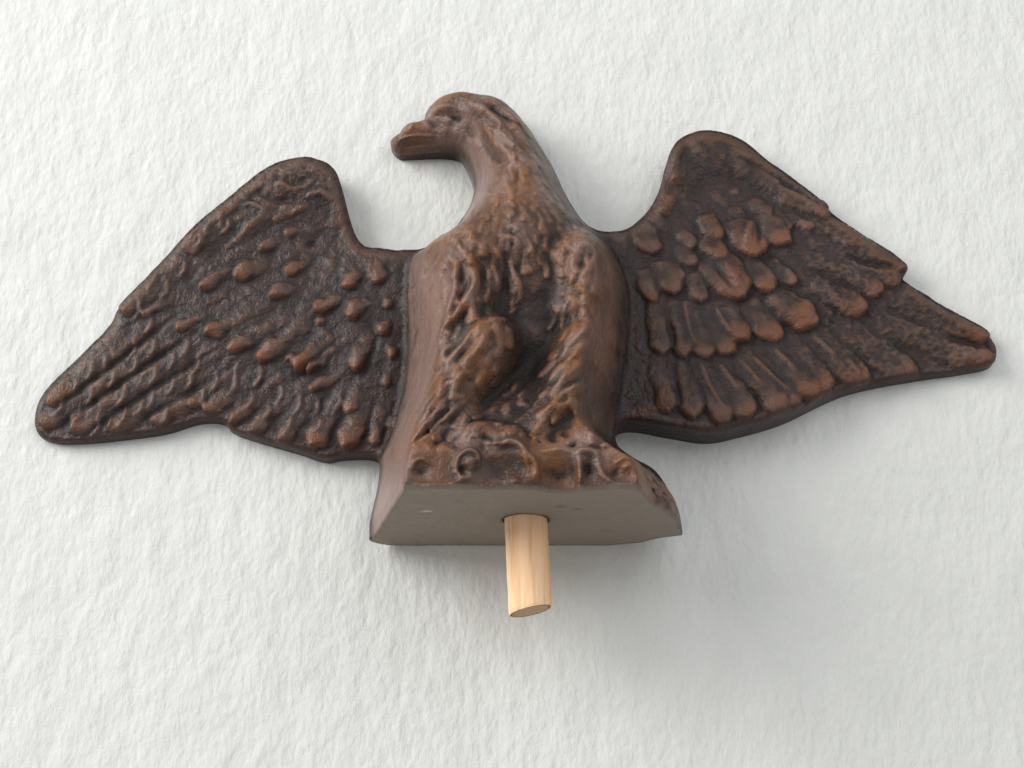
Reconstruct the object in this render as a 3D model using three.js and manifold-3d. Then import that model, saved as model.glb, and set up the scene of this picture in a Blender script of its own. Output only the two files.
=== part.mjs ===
// Eagle crest ornament: a flat-backed cast eagle with spread wings on a rock base, and the wooden dowel
// that stands out of the base's underside. Millimetres, +Z up, +X to the right as seen from the front,
// and the relief faces -Y. The origin is on the dowel's axis, at the underside of the base.
import * as THREE from "three";
import { mergeVertices } from "three/addons/utils/BufferGeometryUtils.js";
import Module from "manifold-3d";

const wasm = await Module();
wasm.setup();

// Driving dimensions
const backY = 21;
const cutAhead = 60;
const cutBehind = 6;
const cutBelow = 2;
const cutBeside = 40;
const leftTip = -117;
const gridCells = 256;
const gridSize = 240;
const gridStartX = -121;
const gridStartZ = -3;
const reliefTolerance = 0.42;
const spareHeight = 5;
const draftRise = 3.1;
const flankFoot = 5;
const plateSink = 0.8;
const rimRadiusDown = 0.9;
const rimRadiusUp = 2.8;
const dowelRadius = 4.75;
const dowelShown = 20.3;
const dowelHidden = 14;
const dowelLean = THREE.MathUtils.degToRad(2.7);
const dowelEndSlope = 0.166;
const dowelSides = 32;
const fitGap = 0.3;

// The outline of the flat back, right half from the beak's hook round to the base's right corner
const outlineRight = [
  [-31.5, 101.3], [-33.1, 102.6], [-34, 105], [-33.3, 106.3], [-31.7, 107.3], [-31.4, 108.4],
  [-29.6, 110], [-27.4, 110.5], [-25.6, 111.4], [-25.2, 113.4], [-24, 115.8], [-22, 117], [-15.3, 117.8],
  [-7.2, 116], [-0.3, 111], [6.4, 98.8], [12, 85.8], [17, 79.2], [22.8, 77.8], [28.4, 80.8], [33, 87.7],
  [35.2, 95.3], [37, 100.4], [39.4, 103.6], [45.7, 106], [53.6, 104.6], [62, 98], [75, 86.7], [75.8, 85],
  [86.3, 76.4], [92, 71.6], [93.9, 69.6], [93.9, 68.2], [92.8, 66.9], [94.6, 65.2], [102.7, 59.3],
  [109, 55.5], [112.4, 53], [114.6, 48.6], [112.9, 44.5], [105, 42.4], [95.7, 41], [77, 37], [61, 29.5],
  [51.6, 26.6], [43.2, 24.9], [34.4, 26.2], [24.9, 27.8], [21.7, 26.8], [21.4, 21.8], [25, 18.7],
  [30.3, 15.1], [33.8, 7.7], [35.6, 0],
];
// The left half, from the base's left corner round the left wing and up the throat
const outlineLeft = [
  [-35.8, 0], [-35.8, 4.5], [-34.2, 13.5], [-34.1, 18.4], [-35, 20.3], [-43.4, 20.6], [-46.5, 20],
  [-53.7, 22.2], [-69.6, 27.5], [-71.6, 29.5], [-76.8, 29.9], [-85.2, 27.3], [-94.2, 25.9], [-105, 24.8],
  [-112.5, 25.1], [-115.8, 27], [leftTip, 31.5], [-115.4, 37.3], [-105, 49], [-100.2, 55.2], [-99.2, 58.1],
  [-88.6, 71.7], [-81, 81], [-74, 87.4], [-64.3, 95.6], [-56.7, 98.4], [-50.4, 97.2], [-47.4, 95],
  [-45.4, 90], [-43, 81.3], [-41.3, 76.9], [-39.3, 74.4], [-36.5, 73.8], [-30.3, 73.2], [-24.7, 74.2],
  [-18.6, 78.3], [-14.1, 84.5], [-12.6, 91], [-14.4, 97.8], [-15.9, 100.3], [-18.5, 101.4],
];
// The body's own sides, where its flanks rise out of the wings
const flankLeft = [
  [-34.1, 18.4], [-30.5, 28], [-28.6, 38], [-28.2, 50], [-29, 62], [-28.5, 70.5], [-24.7, 74.2],
];
const flankRight = [[17, 79.2], [22, 72], [25.4, 62], [25.4, 50], [24, 38], [22.2, 28], [21.4, 21.8]];

// Thickness of the plate under the feathers, at places over the wings and the head: x, z, thickness
const plateHeights = [
  [-36, 66, 8.5], [-36, 45, 7.5], [-36, 26, 6.5], [-46, 90, 8.5], [-55, 95, 9.5], [-50, 78, 6],
  [-62, 90, 8.5], [-66, 72, 6.5], [-76, 84, 7.5], [-52, 60, 7], [-60, 50, 6.5], [-50, 36, 6],
  [-46, 24, 5.5], [-58, 28, 5], [-70, 34, 4.6], [-84, 72, 6.5], [-78, 56, 6], [-92, 62, 6],
  [-98, 55, 5.2], [-88, 44, 4.8], [-84, 31, 4.2], [-104, 46, 4.6], [-98, 30, 4], [-112, 34, 3.6],
  [-114, 28, 3.2], [28, 76, 9], [28, 60, 9.5], [28, 44, 10], [28, 32, 10.5], [34, 92, 10], [38, 100, 10],
  [47, 103, 9.5], [46, 92, 5.5], [56, 88, 5.5], [58, 99, 7.5], [66, 92, 7], [40, 80, 7.5], [52, 74, 8],
  [40, 64, 8.5], [52, 62, 8.5], [40, 48, 9.5], [54, 48, 9], [40, 31, 11], [52, 31, 10.8], [62, 34, 9.6],
  [70, 78, 7], [76, 84, 6], [66, 64, 7.5], [66, 50, 7.5], [80, 70, 6.2], [90, 72, 5.6], [80, 56, 5.6],
  [74, 40, 7], [84, 42, 4.6], [92, 60, 4.6], [96, 46, 3.8], [104, 56, 4], [106, 46, 3.6], [112, 49, 3.2],
  [-30, 104, 3], [-20, 112, 3], [-8, 108, 3], [2, 98, 3.5], [8, 88, 4], [-13, 92, 3.5], [-20, 78, 6],
];
const plateBlend = 7.5;

// Every feather of the left wing: its root in X and Z, its tip, its width and how far its tip stands up.
// They are slim drops over long strips
const leftFeathers = [
  [-68, 84.5, -83.6, 73, 6.4, 0.9], [-80, 71.5, -98.2, 57.2, 6.4, 1.1], [-84, 61, -93, 56.4, 3.2, 0.9],
  [-70, 69.5, -78.7, 62.7, 3.8, 1.5], [-61, 71, -70.7, 65.8, 5, 1.4], [-51, 71.5, -58.2, 66.8, 3.6, 1.3],
  [-58.5, 76.5, -65.2, 73.3, 3.4, 1.1], [-53.5, 80.5, -59, 77.1, 2.8, 0.9],
  [-55, 64.5, -62, 60.4, 4.1, 1.5], [-43.5, 61, -50.8, 56.9, 3.8, 1.5], [-48.2, 55.2, -49.9, 53, 2.4, 1],
  [-37, 60, -43.2, 54.3, 4.4, 1.5], [-39.5, 68, -43.8, 62.4, 3.8, 1.3], [-34.6, 73, -36, 63.4, 4.6, 1.1],
  [-60, 59.5, -77.3, 51.2, 4.6, 1.5], [-76, 57, -83.8, 52.5, 3, 1], [-56, 56, -71.1, 46.9, 4.2, 1.3],
  [-51, 55, -63.8, 44.4, 5, 1.4], [-52, 48, -57, 44, 2.4, 1], [-45.5, 52, -55.1, 41.9, 4.8, 2],
  [-44.5, 48, -51.7, 41, 3, 1.4], [-37.5, 51.5, -40.7, 40.8, 4.6, 2], [-41.5, 42.5, -51, 36.5, 3.4, 1.3],
  [-32.6, 59.5, -33.2, 57, 2.5, 1.1], [-33.5, 54, -34, 49.7, 3.6, 1.5],
  [-31.6, 47.4, -32.1, 44.4, 2.8, 1.2], [-32.5, 40.3, -33, 37, 2.7, 1.1],
  [-31.2, 30, -31.6, 26.7, 2.7, 1], [-60, 43.5, -76.2, 31.6, 4.6, 1], [-64, 46.5, -80, 33.3, 4.4, 0.9],
  [-56, 42, -70, 28.7, 4.2, 1.2], [-52, 40, -65, 26, 4.2, 1.1], [-47, 39, -58, 23.4, 4.6, 1.4],
  [-41.5, 38.5, -50.4, 22.2, 5.4, 1.6], [-36.5, 38, -42.3, 21.6, 5.8, 1.7],
  [-38.5, 40, -42, 30.3, 4.2, 1.2], [-32.5, 36, -35.6, 22.5, 4, 1], [-86, 57.5, -114, 33.5, 5.8, 1.1],
  [-80, 55.5, -115, 28.8, 5.6, 0.9], [-76, 50.5, -108, 27.5, 5.8, 1.1], [-72, 45.8, -98.5, 27, 5, 1],
  [-70, 41.5, -88.5, 28.6, 4.4, 0.9],
];
// The right wing's feathers in the same form. They are broad scales over long flutes
const rightFeathers = [
  [38, 78.5, 41.2, 72.6, 3.8, 1], [44, 83, 48.2, 75.4, 4.8, 1.4], [28, 80, 31.8, 71, 5.6, 1.4],
  [37.2, 74.5, 41.6, 67.5, 4.2, 1.1], [43.5, 77, 48.5, 69.6, 5.4, 1.7], [52, 83.5, 57, 70.8, 8, 1.8],
  [57, 84, 64.7, 74.1, 6.4, 1.7], [50, 85.5, 55.2, 80.3, 4.2, 0.8], [56, 88, 61.2, 82.3, 4.6, 0.8],
  [64, 83.5, 71.2, 79, 3.2, 1.1], [61, 89.5, 76, 83.4, 5, 1.3], [61.5, 84, 66.2, 78.8, 3.2, 0.9],
  [34, 71, 35.8, 60.2, 6.6, 1.4], [29.4, 68, 30.6, 58.4, 5, 1.2], [41, 67, 42.4, 58, 4.4, 1.4],
  [45, 72, 52.6, 59.2, 9.2, 2.2], [54, 71, 60, 61.2, 5.8, 1.6], [59, 70, 65.8, 63.2, 4.2, 1.2],
  [66, 84, 94.6, 68.8, 5.8, 1.4], [68, 78, 91.8, 65.3, 5.8, 1.1], [69, 72.5, 87.2, 62.2, 5.8, 1.2],
  [67, 65.5, 82.8, 56.8, 6, 1.5], [57.5, 61, 70.2, 52.8, 7.6, 2.1], [52, 60, 60.6, 48.2, 6.6, 1.5],
  [46.5, 61, 52.2, 47.5, 6.2, 1.9], [31, 62, 32.6, 43.7, 4.8, 1.3], [35, 61, 38, 43.2, 5, 1.4],
  [39, 61, 43.2, 42.9, 5.2, 1.4], [42.5, 60, 48.8, 43.9, 5.6, 1.6], [30.5, 46, 33.8, 29.4, 5, 1],
  [35, 46, 39.8, 27.9, 5.4, 1.3], [40, 46, 46.8, 26.6, 5.6, 1.6], [45, 46, 52.5, 27.2, 5.6, 1.5],
  [49.5, 47, 61, 29.2, 6.2, 1.7], [54, 48, 64.6, 31, 4.6, 1.2], [57.5, 50, 69.2, 33, 6, 1.9],
  [61.5, 52, 72.2, 35.8, 5.6, 1.4], [66, 54, 81.4, 37.8, 7.2, 1.4], [74, 55, 94, 39.6, 7.6, 1.4],
  [84, 55, 113.4, 44.4, 7, 1.3], [88, 63.5, 112.8, 50.6, 7.6, 1.4],
];
// How the two wings' feathers are made from those: their width and lift times a factor, crown as the power
// of their rounding across, and swell as the share of the lift that comes close to the tip
const leftCut = { width: 1.1, lift: 1.3, crown: 0.7, swell: 0.45 };
const rightCut = { width: 1.2, lift: 1.2, crown: 0.4, swell: 0.15 };
// A feather's form, as shares of its width or of its length
const feather = {
  rounding: 0.55,
  leastStraight: 0.1,
  rootWidth: 0.85,
  rootRise: 0.35,
  rootEase: 0.2,
  swellFrom: 1.7,
  swellTo: 0.4,
};
// Broad lines cut into the wings or raised on them: points, half-width, lift
const wingLines = [
  [[[-66.4, 88.6], [-61, 86.2], [-55, 86.6]], 1.1, -0.8],
  [[[-52.5, 75.8], [-52, 74.2]], 1.3, -0.9],
  [[[37.4, 94.5], [38, 98], [39.4, 101.5]], 0.9, 0.9],
  [[[37.2, 91], [38, 92.5]], 1.1, 0.9],
  [[[36.3, 85], [36.8, 87.5]], 1.1, 0.8],
  [[[33.6, 82.4], [35.4, 83.6]], 1.2, 0.9],
  [[[41, 84], [44.5, 91], [52, 92.5], [60, 88.5]], 3, -0.8],
  [[[103, 50.4], [108, 49.6], [113, 48.4]], 1, -1],
];

// The figure's rounded masses as chains of domes: x, z, height above the back, radius
const masses = [
  [[-1, 66, 33, 17], [-1, 54, 33, 20], [-1, 44, 31, 20]],
  [[-1, 66, 33, 17], [-1.5, 84, 26.5, 14], [-4, 96, 21.5, 12], [-9, 105, 18, 11], [-15, 108, 16, 9.5]],
  [[-11, 60, 35.5, 12], [-13, 46, 36.5, 9]],
  [[13, 59, 35, 10], [13, 48, 35, 8.5]],
  [[-18, 50, 34, 6], [-19, 30, 35, 5], [-23, 15, 40, 4]],
  [[-9, 38, 38.5, 6.5], [-14, 27, 39, 6], [-20, 14, 40, 4]],
  [[14, 36, 38.5, 7], [9, 26, 38.5, 5.5], [3, 16, 38.5, 4]],
  [[18, 50, 33, 5], [18, 34, 35, 4], [17, 16, 36, 4]],
  [[-13.5, 20, 37.5, 4], [-13.5, 10, 43, 3.6]],
  [[13.8, 20, 37.5, 3.4], [13.6, 10, 42, 3.6]],
  [[27, 9, 33, 5], [30.5, 3, 31, 5]],
];
// Small parts with a tighter blend: the toes, the claws over the rock's edge, and the beak
const smallMasses = [
  [[-21, 11, 43, 3], [-21.5, 6, 44.6, 2.6]],
  [[-11.5, 11.5, 44.5, 3.4], [-11.8, 5.6, 46.2, 2.6]],
  [[-10, 13, 43, 3], [-4, 11.4, 44.8, 3], [0.6, 6.4, 45.6, 2.6], [1.4, 3, 45.4, 2]],
  [[12.8, 11.5, 44, 3.4], [11.6, 6.6, 45.2, 2.4]],
  [[17.5, 10, 42.5, 3.2], [20.6, 5.4, 45.4, 2.6]],
  [[-23, 106, 10.5, 5], [-29, 106, 9, 4.2], [-32, 104.2, 7.8, 2.6]],
];
// Raised ridges and cut grooves on the head, the breast and the legs: points, half-width, lift
const ridges = [
  [[[-24.2, 109.4], [-23.4, 107.4], [-22.2, 105.6], [-20.8, 104]], 0.8, -1],
  [[[-17.6, 102.9], [-14.6, 102], [-12.8, 99.8], [-11.3, 97], [-10.2, 94], [-9.5, 91], [-9.1, 87]], 0.9, 1.2],
  [[[-12, 103], [-10.8, 100.6], [-9.6, 98], [-8.6, 95.5], [-7.4, 92.8]], 0.9, -1.1],
  [[[-10.2, 100.6], [-9, 97.8], [-7.6, 95.4], [-5.8, 93], [-4.4, 90.6], [-3.6, 88.4]], 0.8, 1.2],
  [[[-8.2, 93], [-6.6, 91], [-5.3, 88], [-5.5, 85]], 1.1, -1.3],
  [[[-13.4, 107.8], [-10.4, 106.2], [-7.6, 103.2], [-5.6, 100.4]], 1, 0.9],
  [[[-11, 109.5], [-6.5, 106.9], [-2.8, 103.3], [0.2, 98.5]], 1.2, 0.8],
  [[[-17.2, 62.8], [-15.8, 61.4], [-14.3, 58.2]], 0.8, 1.3],
  [[[-13.8, 64.8], [-11.6, 62.4]], 0.9, 1.1],
  [[[-13.5, 61.5], [-11, 60.3], [-8, 57.8]], 0.9, 0.9],
  [[[-19.2, 57.2], [-20.2, 54], [-21.1, 50.3]], 0.7, 1.2],
  [[[-17.5, 58], [-15.2, 55.4]], 0.8, 1.1],
  [[[-15.9, 55], [-15.6, 51], [-16.2, 46.7], [-17.8, 43]], 0.8, 1.5],
  [[[-19, 54.5], [-18.5, 50.2], [-19.4, 46]], 1.6, 0.9],
  [[[-12.7, 58.2], [-13.5, 54]], 1.2, 1],
  [[[-12, 55], [-11.3, 50.2], [-12.4, 46.3], [-11.8, 42.6]], 1.2, 1.8],
  [[[-14, 46.4], [-15.5, 42.8], [-18, 40.6], [-20.4, 38.2]], 0.8, 1],
  [[[-6.9, 60], [-5.8, 57]], 0.8, 1],
  [[[-6.9, 54.6], [-6.1, 50.6]], 0.8, 1.2],
  [[[-5.2, 62.8], [-2.4, 62.4], [-1.2, 60]], 0.8, 1.1],
  [[[-3.3, 57], [-2.5, 54], [-1.3, 51], [-1.6, 47.8]], 0.8, 1.1],
  [[[9, 62.4], [8.6, 59], [8.3, 55.6]], 1, 0.9],
  [[[12.4, 60.4], [15.4, 60.2], [15.9, 58], [14.5, 54.8], [12.8, 52.7]], 0.9, 1.4],
  [[[12.6, 58.2], [12.4, 55]], 0.9, -0.9],
  [[[16.2, 62], [19, 60.7], [20.5, 56.8], [20.4, 53.5]], 1.2, 0.9],
  [[[12.3, 50], [13.5, 48.1]], 0.8, 1],
  [[[-12, 38.4], [-13.3, 35.3], [-15, 33.6], [-17, 31.2]], 0.8, 1.2],
  [[[-8.2, 38], [-10.1, 33.5], [-11.6, 31.6], [-13.3, 30.4]], 0.9, 1.3],
  [[[-13.4, 28], [-15, 25], [-15.8, 22.8]], 0.9, 1.1],
  [[[-17.6, 27.2], [-18.4, 25.4], [-18.9, 22.8]], 0.9, 1.3],
  [[[-18.1, 33.6], [-17.3, 30.4]], 0.9, 1],
  [[[-19, 22], [-20.8, 19.1], [-22.2, 17]], 0.8, 1.1],
  [[[-12.4, 18.6], [-13.8, 15]], 1, 0.9],
  [[[-7, 40.6], [-5.6, 37], [-5.4, 33]], 1, 0.8],
  [[[-10, 40.4], [-10.6, 36.6]], 1, 0.9],
  [[[9.9, 35], [12.4, 38], [15.2, 39.2], [17.6, 38.6], [18.5, 36.4]], 1.1, 0.9],
  [[[14.3, 34.8], [12.5, 30.9], [10.7, 28.7], [7.6, 26.6]], 0.9, 1.4],
  [[[16.6, 30], [14.5, 27.9], [12.4, 25.7], [8.8, 23.7]], 0.9, 1.3],
  [[[15, 26.4], [12.4, 22.4], [9, 21], [6.2, 19.5], [3.2, 16.6], [1.5, 14.2]], 0.9, 1.2],
  [[[13.1, 19.4], [13.8, 15.8], [14.1, 13], [13.8, 10.3]], 1.4, 1.2],
  [[[-22.2, 4.6], [-21.8, 2.8]], 1.6, -0.8],
  [[[-13.2, 5], [-13.4, 3.2]], 0.9, -0.9],
  [[[-11.8, 6.2], [-11.2, 5]], 1.3, 0.9],
  [[[-9.9, 10.8], [-6.3, 9.8], [-3.6, 10.1], [-1.3, 9.2], [0, 7], [1.6, 5.4], [2.1, 3.7], [1.9, 2.1]], 0.8, 1.5],
  [[[-8.6, 6], [-6, 4.4], [-2.6, 4.8], [-0.4, 4.4]], 1.9, -1.1],
  [[[3.6, 5], [6, 3.6], [8.6, 4]], 2, -0.6],
  [[[12.8, 5.8], [13, 3]], 1.2, -1],
  [[[10.8, 6.4], [11, 3.3], [10.9, 0.2]], 0.7, 1.9],
  [[[14.4, 6.1], [15.8, 2.6], [17.6, 1.1], [20, 0.6], [22.6, 0.8]], 0.8, 1.2],
  [[[20.7, 5], [21.2, 4]], 1.4, 1],
  [[[18, 4.2], [18.8, 2.6]], 1.3, -0.8],
  [[[22.2, 2.4], [23.6, 1.6]], 1.1, 0.8],
  [[[25.4, 9], [26.4, 5.4], [28, 2.6]], 0.9, -1.6],
  [[[28.4, 8.6], [30, 5.4]], 0.8, -1.1],
  [[[31, 9.4], [32.2, 6]], 0.9, 0.9],
];
const deepestGroove = 0.8;

// The rock ledge that the feet stand on, with a dip between the two feet, and the hollow between the legs,
// which climbs towards the ledge
const ledgeHeight = 45.2;
const ledgeTopZ = 11.5;
const ledgeTopSpan = 4;
const ledgeDip = { x: 7.5, reach: 4.5, depth: 2.4, fromZ: 9, fullZ: 3 };
const ledgeStep = 1;
const betweenLegs = 26;
const betweenFeet = 39;
const hollowTopZ = 42;
const hollowFootZ = 10;
const bellyTopZ = 60;
const wellBelow = -20;

// How widely the creases between the forms are filled
const massBlend = 4;
const smallBlend = 1.2;
const ledgeBlend = 1.5;
const wingBlend = 6;
const beyondFigure = 3;

// The flanks' draft: the height they start at, and how fast they climb inwards. By the base's sides and
// on the head they differ, and a knob of rock stands at the base's right end
const lowFootLeft = 2;
const lowRiseLeft = 0.9;
const lowRiseRight = 0.3;
const headFoot = 2.2;
const lowZ = [20, 8];
const headZ = [96, 106];
const knob = { x: 33, z: 3, height: 11, across: 20, upwards: 60 };

// The face from the jaw up to the brow faces forwards, at a height that climbs slowly
const cheekHeight = 9;
const cheekRise = 0.6;
const cheekBlend = 2;
const jawZ = 101.4;
const browZ = 110.5;
const browStep = 2;
const browSpan = 5;
const faceX = [-8, -17];
const faceZ = [98, 102];

// Where the flanks turn over into the front, the edge is rounded, most of all at the shoulders
const edgeRounding = 2.5;
const legRounding = 2.5;
const shoulderRounding = 9;
const legZ = [8, 22];
const shoulderZ = [34, 66, 104, 92];

// The base's back corners, in plan: x and height above the back, from the flat back outwards
const backCornerLeft = [[-31, 0], [-33.5, 1.2], [-35, 2.8], [-36.2, 5]];
const backCornerRight = [[19, 0], [26.5, 2.6], [30.5, 6.4], [37, 9.5]];
const backCornerTopZ = 18;
const leastWall = 1;

const castColour = 0x4a3830;
const woodColour = 0xd09a68;

const clamp01 = (value) => Math.min(1, Math.max(0, value));

function easeBetween(low, high, value) {
  const t = clamp01((value - low) / (high - low));
  return t * t * (3 - 2 * t);
}

// The larger of two heights, with the crease between them filled over the given width
function softMax(a, b, width) {
  const mix = clamp01(0.5 + (0.5 * (a - b)) / width);
  return b + (a - b) * mix + width * mix * (1 - mix);
}

const softMin = (a, b, width) => -softMax(-a, -b, width);

// A smooth curve through a list of points, as a polyline
function smoothLine(points, stepsEach) {
  const curve = new THREE.CatmullRomCurve3(points.map(([x, z]) => new THREE.Vector3(x, z, 0)));
  return curve.getPoints((points.length - 1) * stepsEach).map((point) => [point.x, point.y]);
}

// The nearest place on a polyline: how far off it is, and how far along, from 0 to 1
function nearest(line, x, z) {
  let best = Infinity;
  let along = 0;
  for (let i = 0; i < line.length - 1; i += 1) {
    const [ax, az] = line[i];
    const ex = line[i + 1][0] - ax;
    const ez = line[i + 1][1] - az;
    const t = clamp01(((x - ax) * ex + (z - az) * ez) / (ex * ex + ez * ez));
    const away = (x - ax - t * ex) ** 2 + (z - az - t * ez) ** 2;
    if (away < best) {
      best = away;
      along = (i + t) / (line.length - 1);
    }
  }
  return { away: Math.sqrt(best), along };
}

function isInside(ring, x, z) {
  let inside = false;
  for (let i = 0, j = ring.length - 1; i < ring.length; j = i, i += 1) {
    const [ax, az] = ring[i];
    const [bx, bz] = ring[j];
    if (az > z !== bz > z && x < ((bx - ax) * (z - az)) / (bz - az) + ax) inside = !inside;
  }
  return inside;
}

const leftHalf = smoothLine([...outlineLeft, outlineRight[0]], 3);
const outline = [...smoothLine(outlineRight, 3), ...leftHalf.slice(0, -1)];

// The outline of the figure alone: head and base from the outline, and the body's own sides.
// The underside is moved far down, because nothing slopes away from it
function figureOutline() {
  const closest = ([x, z]) => {
    const gaps = outline.map((point) => Math.hypot(point[0] - x, point[1] - z));
    return gaps.indexOf(Math.min(...gaps));
  };
  const throat = closest(flankLeft.at(-1));
  const nape = closest(flankRight[0]);
  const base = outline.slice(closest(flankRight.at(-1)), closest(flankLeft[0]) + 1);
  const farDown = base.map(([x, z]) => (z < 0.5 ? [x, -30] : [x, z]));
  const head = [...outline.slice(throat), ...outline.slice(0, nape + 1)];
  return [...head, ...smoothLine(flankRight, 4), ...farDown, ...smoothLine(flankLeft, 4)];
}

const figure = figureOutline();

function depthInside(ring, x, z) {
  const { away } = nearest([...ring, ring[0]], x, z);
  return isInside(ring, x, z) ? away : -away;
}

// Thickness of the plate under the feathers: a weighted mean of the heights around
function plateHeight(x, z) {
  let sum = 0;
  let total = 1e-12;
  for (const [px, pz, height] of plateHeights) {
    const weight = Math.exp(-((x - px) ** 2 + (z - pz) ** 2) / (2 * plateBlend ** 2));
    sum += weight * height;
    total += weight;
  }
  return sum / total;
}

const cutAs = (feathers, cut) => feathers.map(([rootX, rootZ, tipX, tipZ, width, lift]) => {
  const length = Math.hypot(tipX - rootX, tipZ - rootZ);
  const towards = [(tipX - rootX) / length, (tipZ - rootZ) / length];
  return { root: [rootX, rootZ], towards, length, width: width * cut.width, lift: lift * cut.lift, cut };
});

const feathers = [...cutAs(leftFeathers, leftCut), ...cutAs(rightFeathers, rightCut)];

// Height of the highest feather over the plate. Each slopes up from its root, swells near its tip, is
// rounded across and ends as an ellipse
function featherHeight(x, z) {
  let best = 0;
  for (const { root, towards, length, width, lift, cut } of feathers) {
    const along = ((x - root[0]) * towards[0] + (z - root[1]) * towards[1]) / length;
    if (along < 0 || along > 1) continue;
    const across = (z - root[1]) * towards[0] - (x - root[0]) * towards[1];
    const roundFrom = Math.max(feather.leastStraight, 1 - (feather.rounding * width) / length);
    const intoTip = (along - roundFrom) / (1 - roundFrom);
    const widening = (1 - feather.rootWidth) * (along / roundFrom);
    const narrowing = intoTip > 0 ? Math.sqrt(1 - intoTip ** 2) : feather.rootWidth + widening;
    const half = (width / 2) * narrowing;
    if (Math.abs(across) >= half) continue;
    const rise = feather.rootRise + (1 - feather.rootRise) * along;
    const slope = easeBetween(0, feather.rootEase, along) * rise;
    const swellFrom = 1 - (feather.swellFrom * width) / length;
    const swelling = easeBetween(swellFrom, 1 - (feather.swellTo * width) / length, along);
    const dome = (1 - (across / half) ** 2) ** cut.crown;
    best = Math.max(best, lift * ((1 - cut.swell) * slope + cut.swell * swelling) * dome);
  }
  return best;
}

// Height of a chain of domes
function chainHeight(chain, x, z) {
  let best = -Infinity;
  for (let i = 0; i < chain.length - 1; i += 1) {
    const [ax, az, ah, ar] = chain[i];
    const [bx, bz, bh, br] = chain[i + 1];
    const ex = bx - ax;
    const ez = bz - az;
    const t = clamp01(((x - ax) * ex + (z - az) * ez) / (ex * ex + ez * ez));
    const away2 = (x - ax - t * ex) ** 2 + (z - az - t * ez) ** 2;
    best = Math.max(best, ah + (bh - ah) * t - (0.8 * away2) / (ar + (br - ar) * t));
  }
  return best;
}

function asCurves(lines) {
  return lines.map(([points, halfWidth, lift]) => ({ line: smoothLine(points, 4), halfWidth, lift }));
}

const ridgeCurves = asCurves(ridges);
const wingCurves = asCurves(wingLines);

// Sum of the lines near a place: each has a bell-shaped section and fades towards its ends
function lineHeight(curves, x, z) {
  let sum = 0;
  for (const { line, halfWidth, lift } of curves) {
    const { away, along } = nearest(line, x, z);
    if (away > 3 * halfWidth) continue;
    sum += lift * Math.exp(-((away / halfWidth) ** 2)) * (0.35 + 0.65 * Math.sin(Math.PI * along) ** 0.7);
  }
  return sum;
}

// The highest that the mould's draft lets the body be, at a distance inside its own outline
function draftHeight(x, z, inside) {
  const low = easeBetween(...lowZ, z);
  const head = easeBetween(...headZ, z);
  const lowRise = x < 0 ? lowRiseLeft : lowRiseRight;
  const foot = flankFoot - (x < 0 ? lowFootLeft * low : 0) - headFoot * head;
  const rock = knob.height * Math.exp(-((x - knob.x) ** 2) / knob.across - (z - knob.z) ** 2 / knob.upwards);
  const draft = foot + rock + (draftRise + lowRise * low) * inside;
  const brow = browStep * easeBetween(browZ - browSpan, browZ, z);
  const cheek = softMin(draft, cheekHeight + cheekRise * (z - jawZ) + brow, cheekBlend);
  return draft + (cheek - draft) * easeBetween(...faceX, x) * easeBetween(...faceZ, z);
}

// Breast, head, legs and base, without and then with the flanks' draft and the carved lines
function figureHeight(x, z, inside) {
  const between = betweenLegs + (betweenFeet - betweenLegs) * easeBetween(hollowTopZ, hollowFootZ, z);
  let height = z < bellyTopZ ? between : wellBelow;
  for (const chain of masses) height = softMax(height, chainHeight(chain, x, z), massBlend);
  for (const chain of smallMasses) height = softMax(height, chainHeight(chain, x, z), smallBlend);
  const fall = easeBetween(ledgeTopZ - ledgeTopSpan, ledgeTopZ + ledgeTopSpan, z);
  const acrossDip = Math.exp(-(((x - ledgeDip.x) / ledgeDip.reach) ** 2));
  const dip = ledgeDip.depth * acrossDip * easeBetween(ledgeDip.fromZ, ledgeDip.fullZ, z);
  const ledge = ledgeHeight - (ledgeHeight - between + ledgeStep) * fall - dip;
  if (z < bellyTopZ) height = softMax(height, ledge, ledgeBlend);
  const [shoulderFrom, shoulderFull, neckEnd, neckFull] = shoulderZ;
  const shoulder = easeBetween(shoulderFrom, shoulderFull, z) * easeBetween(neckEnd, neckFull, z);
  const rounding = edgeRounding + legRounding * easeBetween(...legZ, z) + shoulderRounding * shoulder;
  const lines = lineHeight(ridgeCurves, x, z);
  const carved = (lines < 0 ? deepestGroove * lines : lines) * easeBetween(0, 1, inside);
  return softMin(height, draftHeight(x, z, inside), rounding) + carved;
}

// Height of the whole relief above the flat back, before its rim is rounded
function reliefHeight(x, z) {
  const wing = plateHeight(x, z) - plateSink + featherHeight(x, z) + lineHeight(wingCurves, x, z);
  const insideFigure = depthInside(figure, x, z);
  if (insideFigure < -beyondFigure) return wing;
  return softMax(wing, figureHeight(x, z, insideFigure), wingBlend);
}

// How far a back corner's curve stands off the flat back
function cornerHeight(corner, x) {
  for (let i = 0; i < corner.length - 1; i += 1) {
    const [ax, ah] = corner[i];
    const [bx, bh] = corner[i + 1];
    const t = (x - ax) / (bx - ax);
    if (t >= 0 && t <= 1) return ah + (bh - ah) * t;
  }
  return 0;
}

// The relief never comes closer than this to the back, so the wall keeps its thickness
function leastHeight(x, z) {
  if (z > backCornerTopZ) return leastWall;
  return leastWall + cornerHeight(backCornerLeft, x) + cornerHeight(backCornerRight, x);
}

// The rim's rounding takes more off where the edge looks up than where it looks down
function rimDrop(depth, looksUp) {
  const radius = rimRadiusDown + (rimRadiusUp - rimRadiusDown) * easeBetween(-0.2, 0.7, looksUp);
  const into = clamp01(1 - depth / radius);
  return radius * (1 - Math.sqrt(1 - into * into));
}

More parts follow.
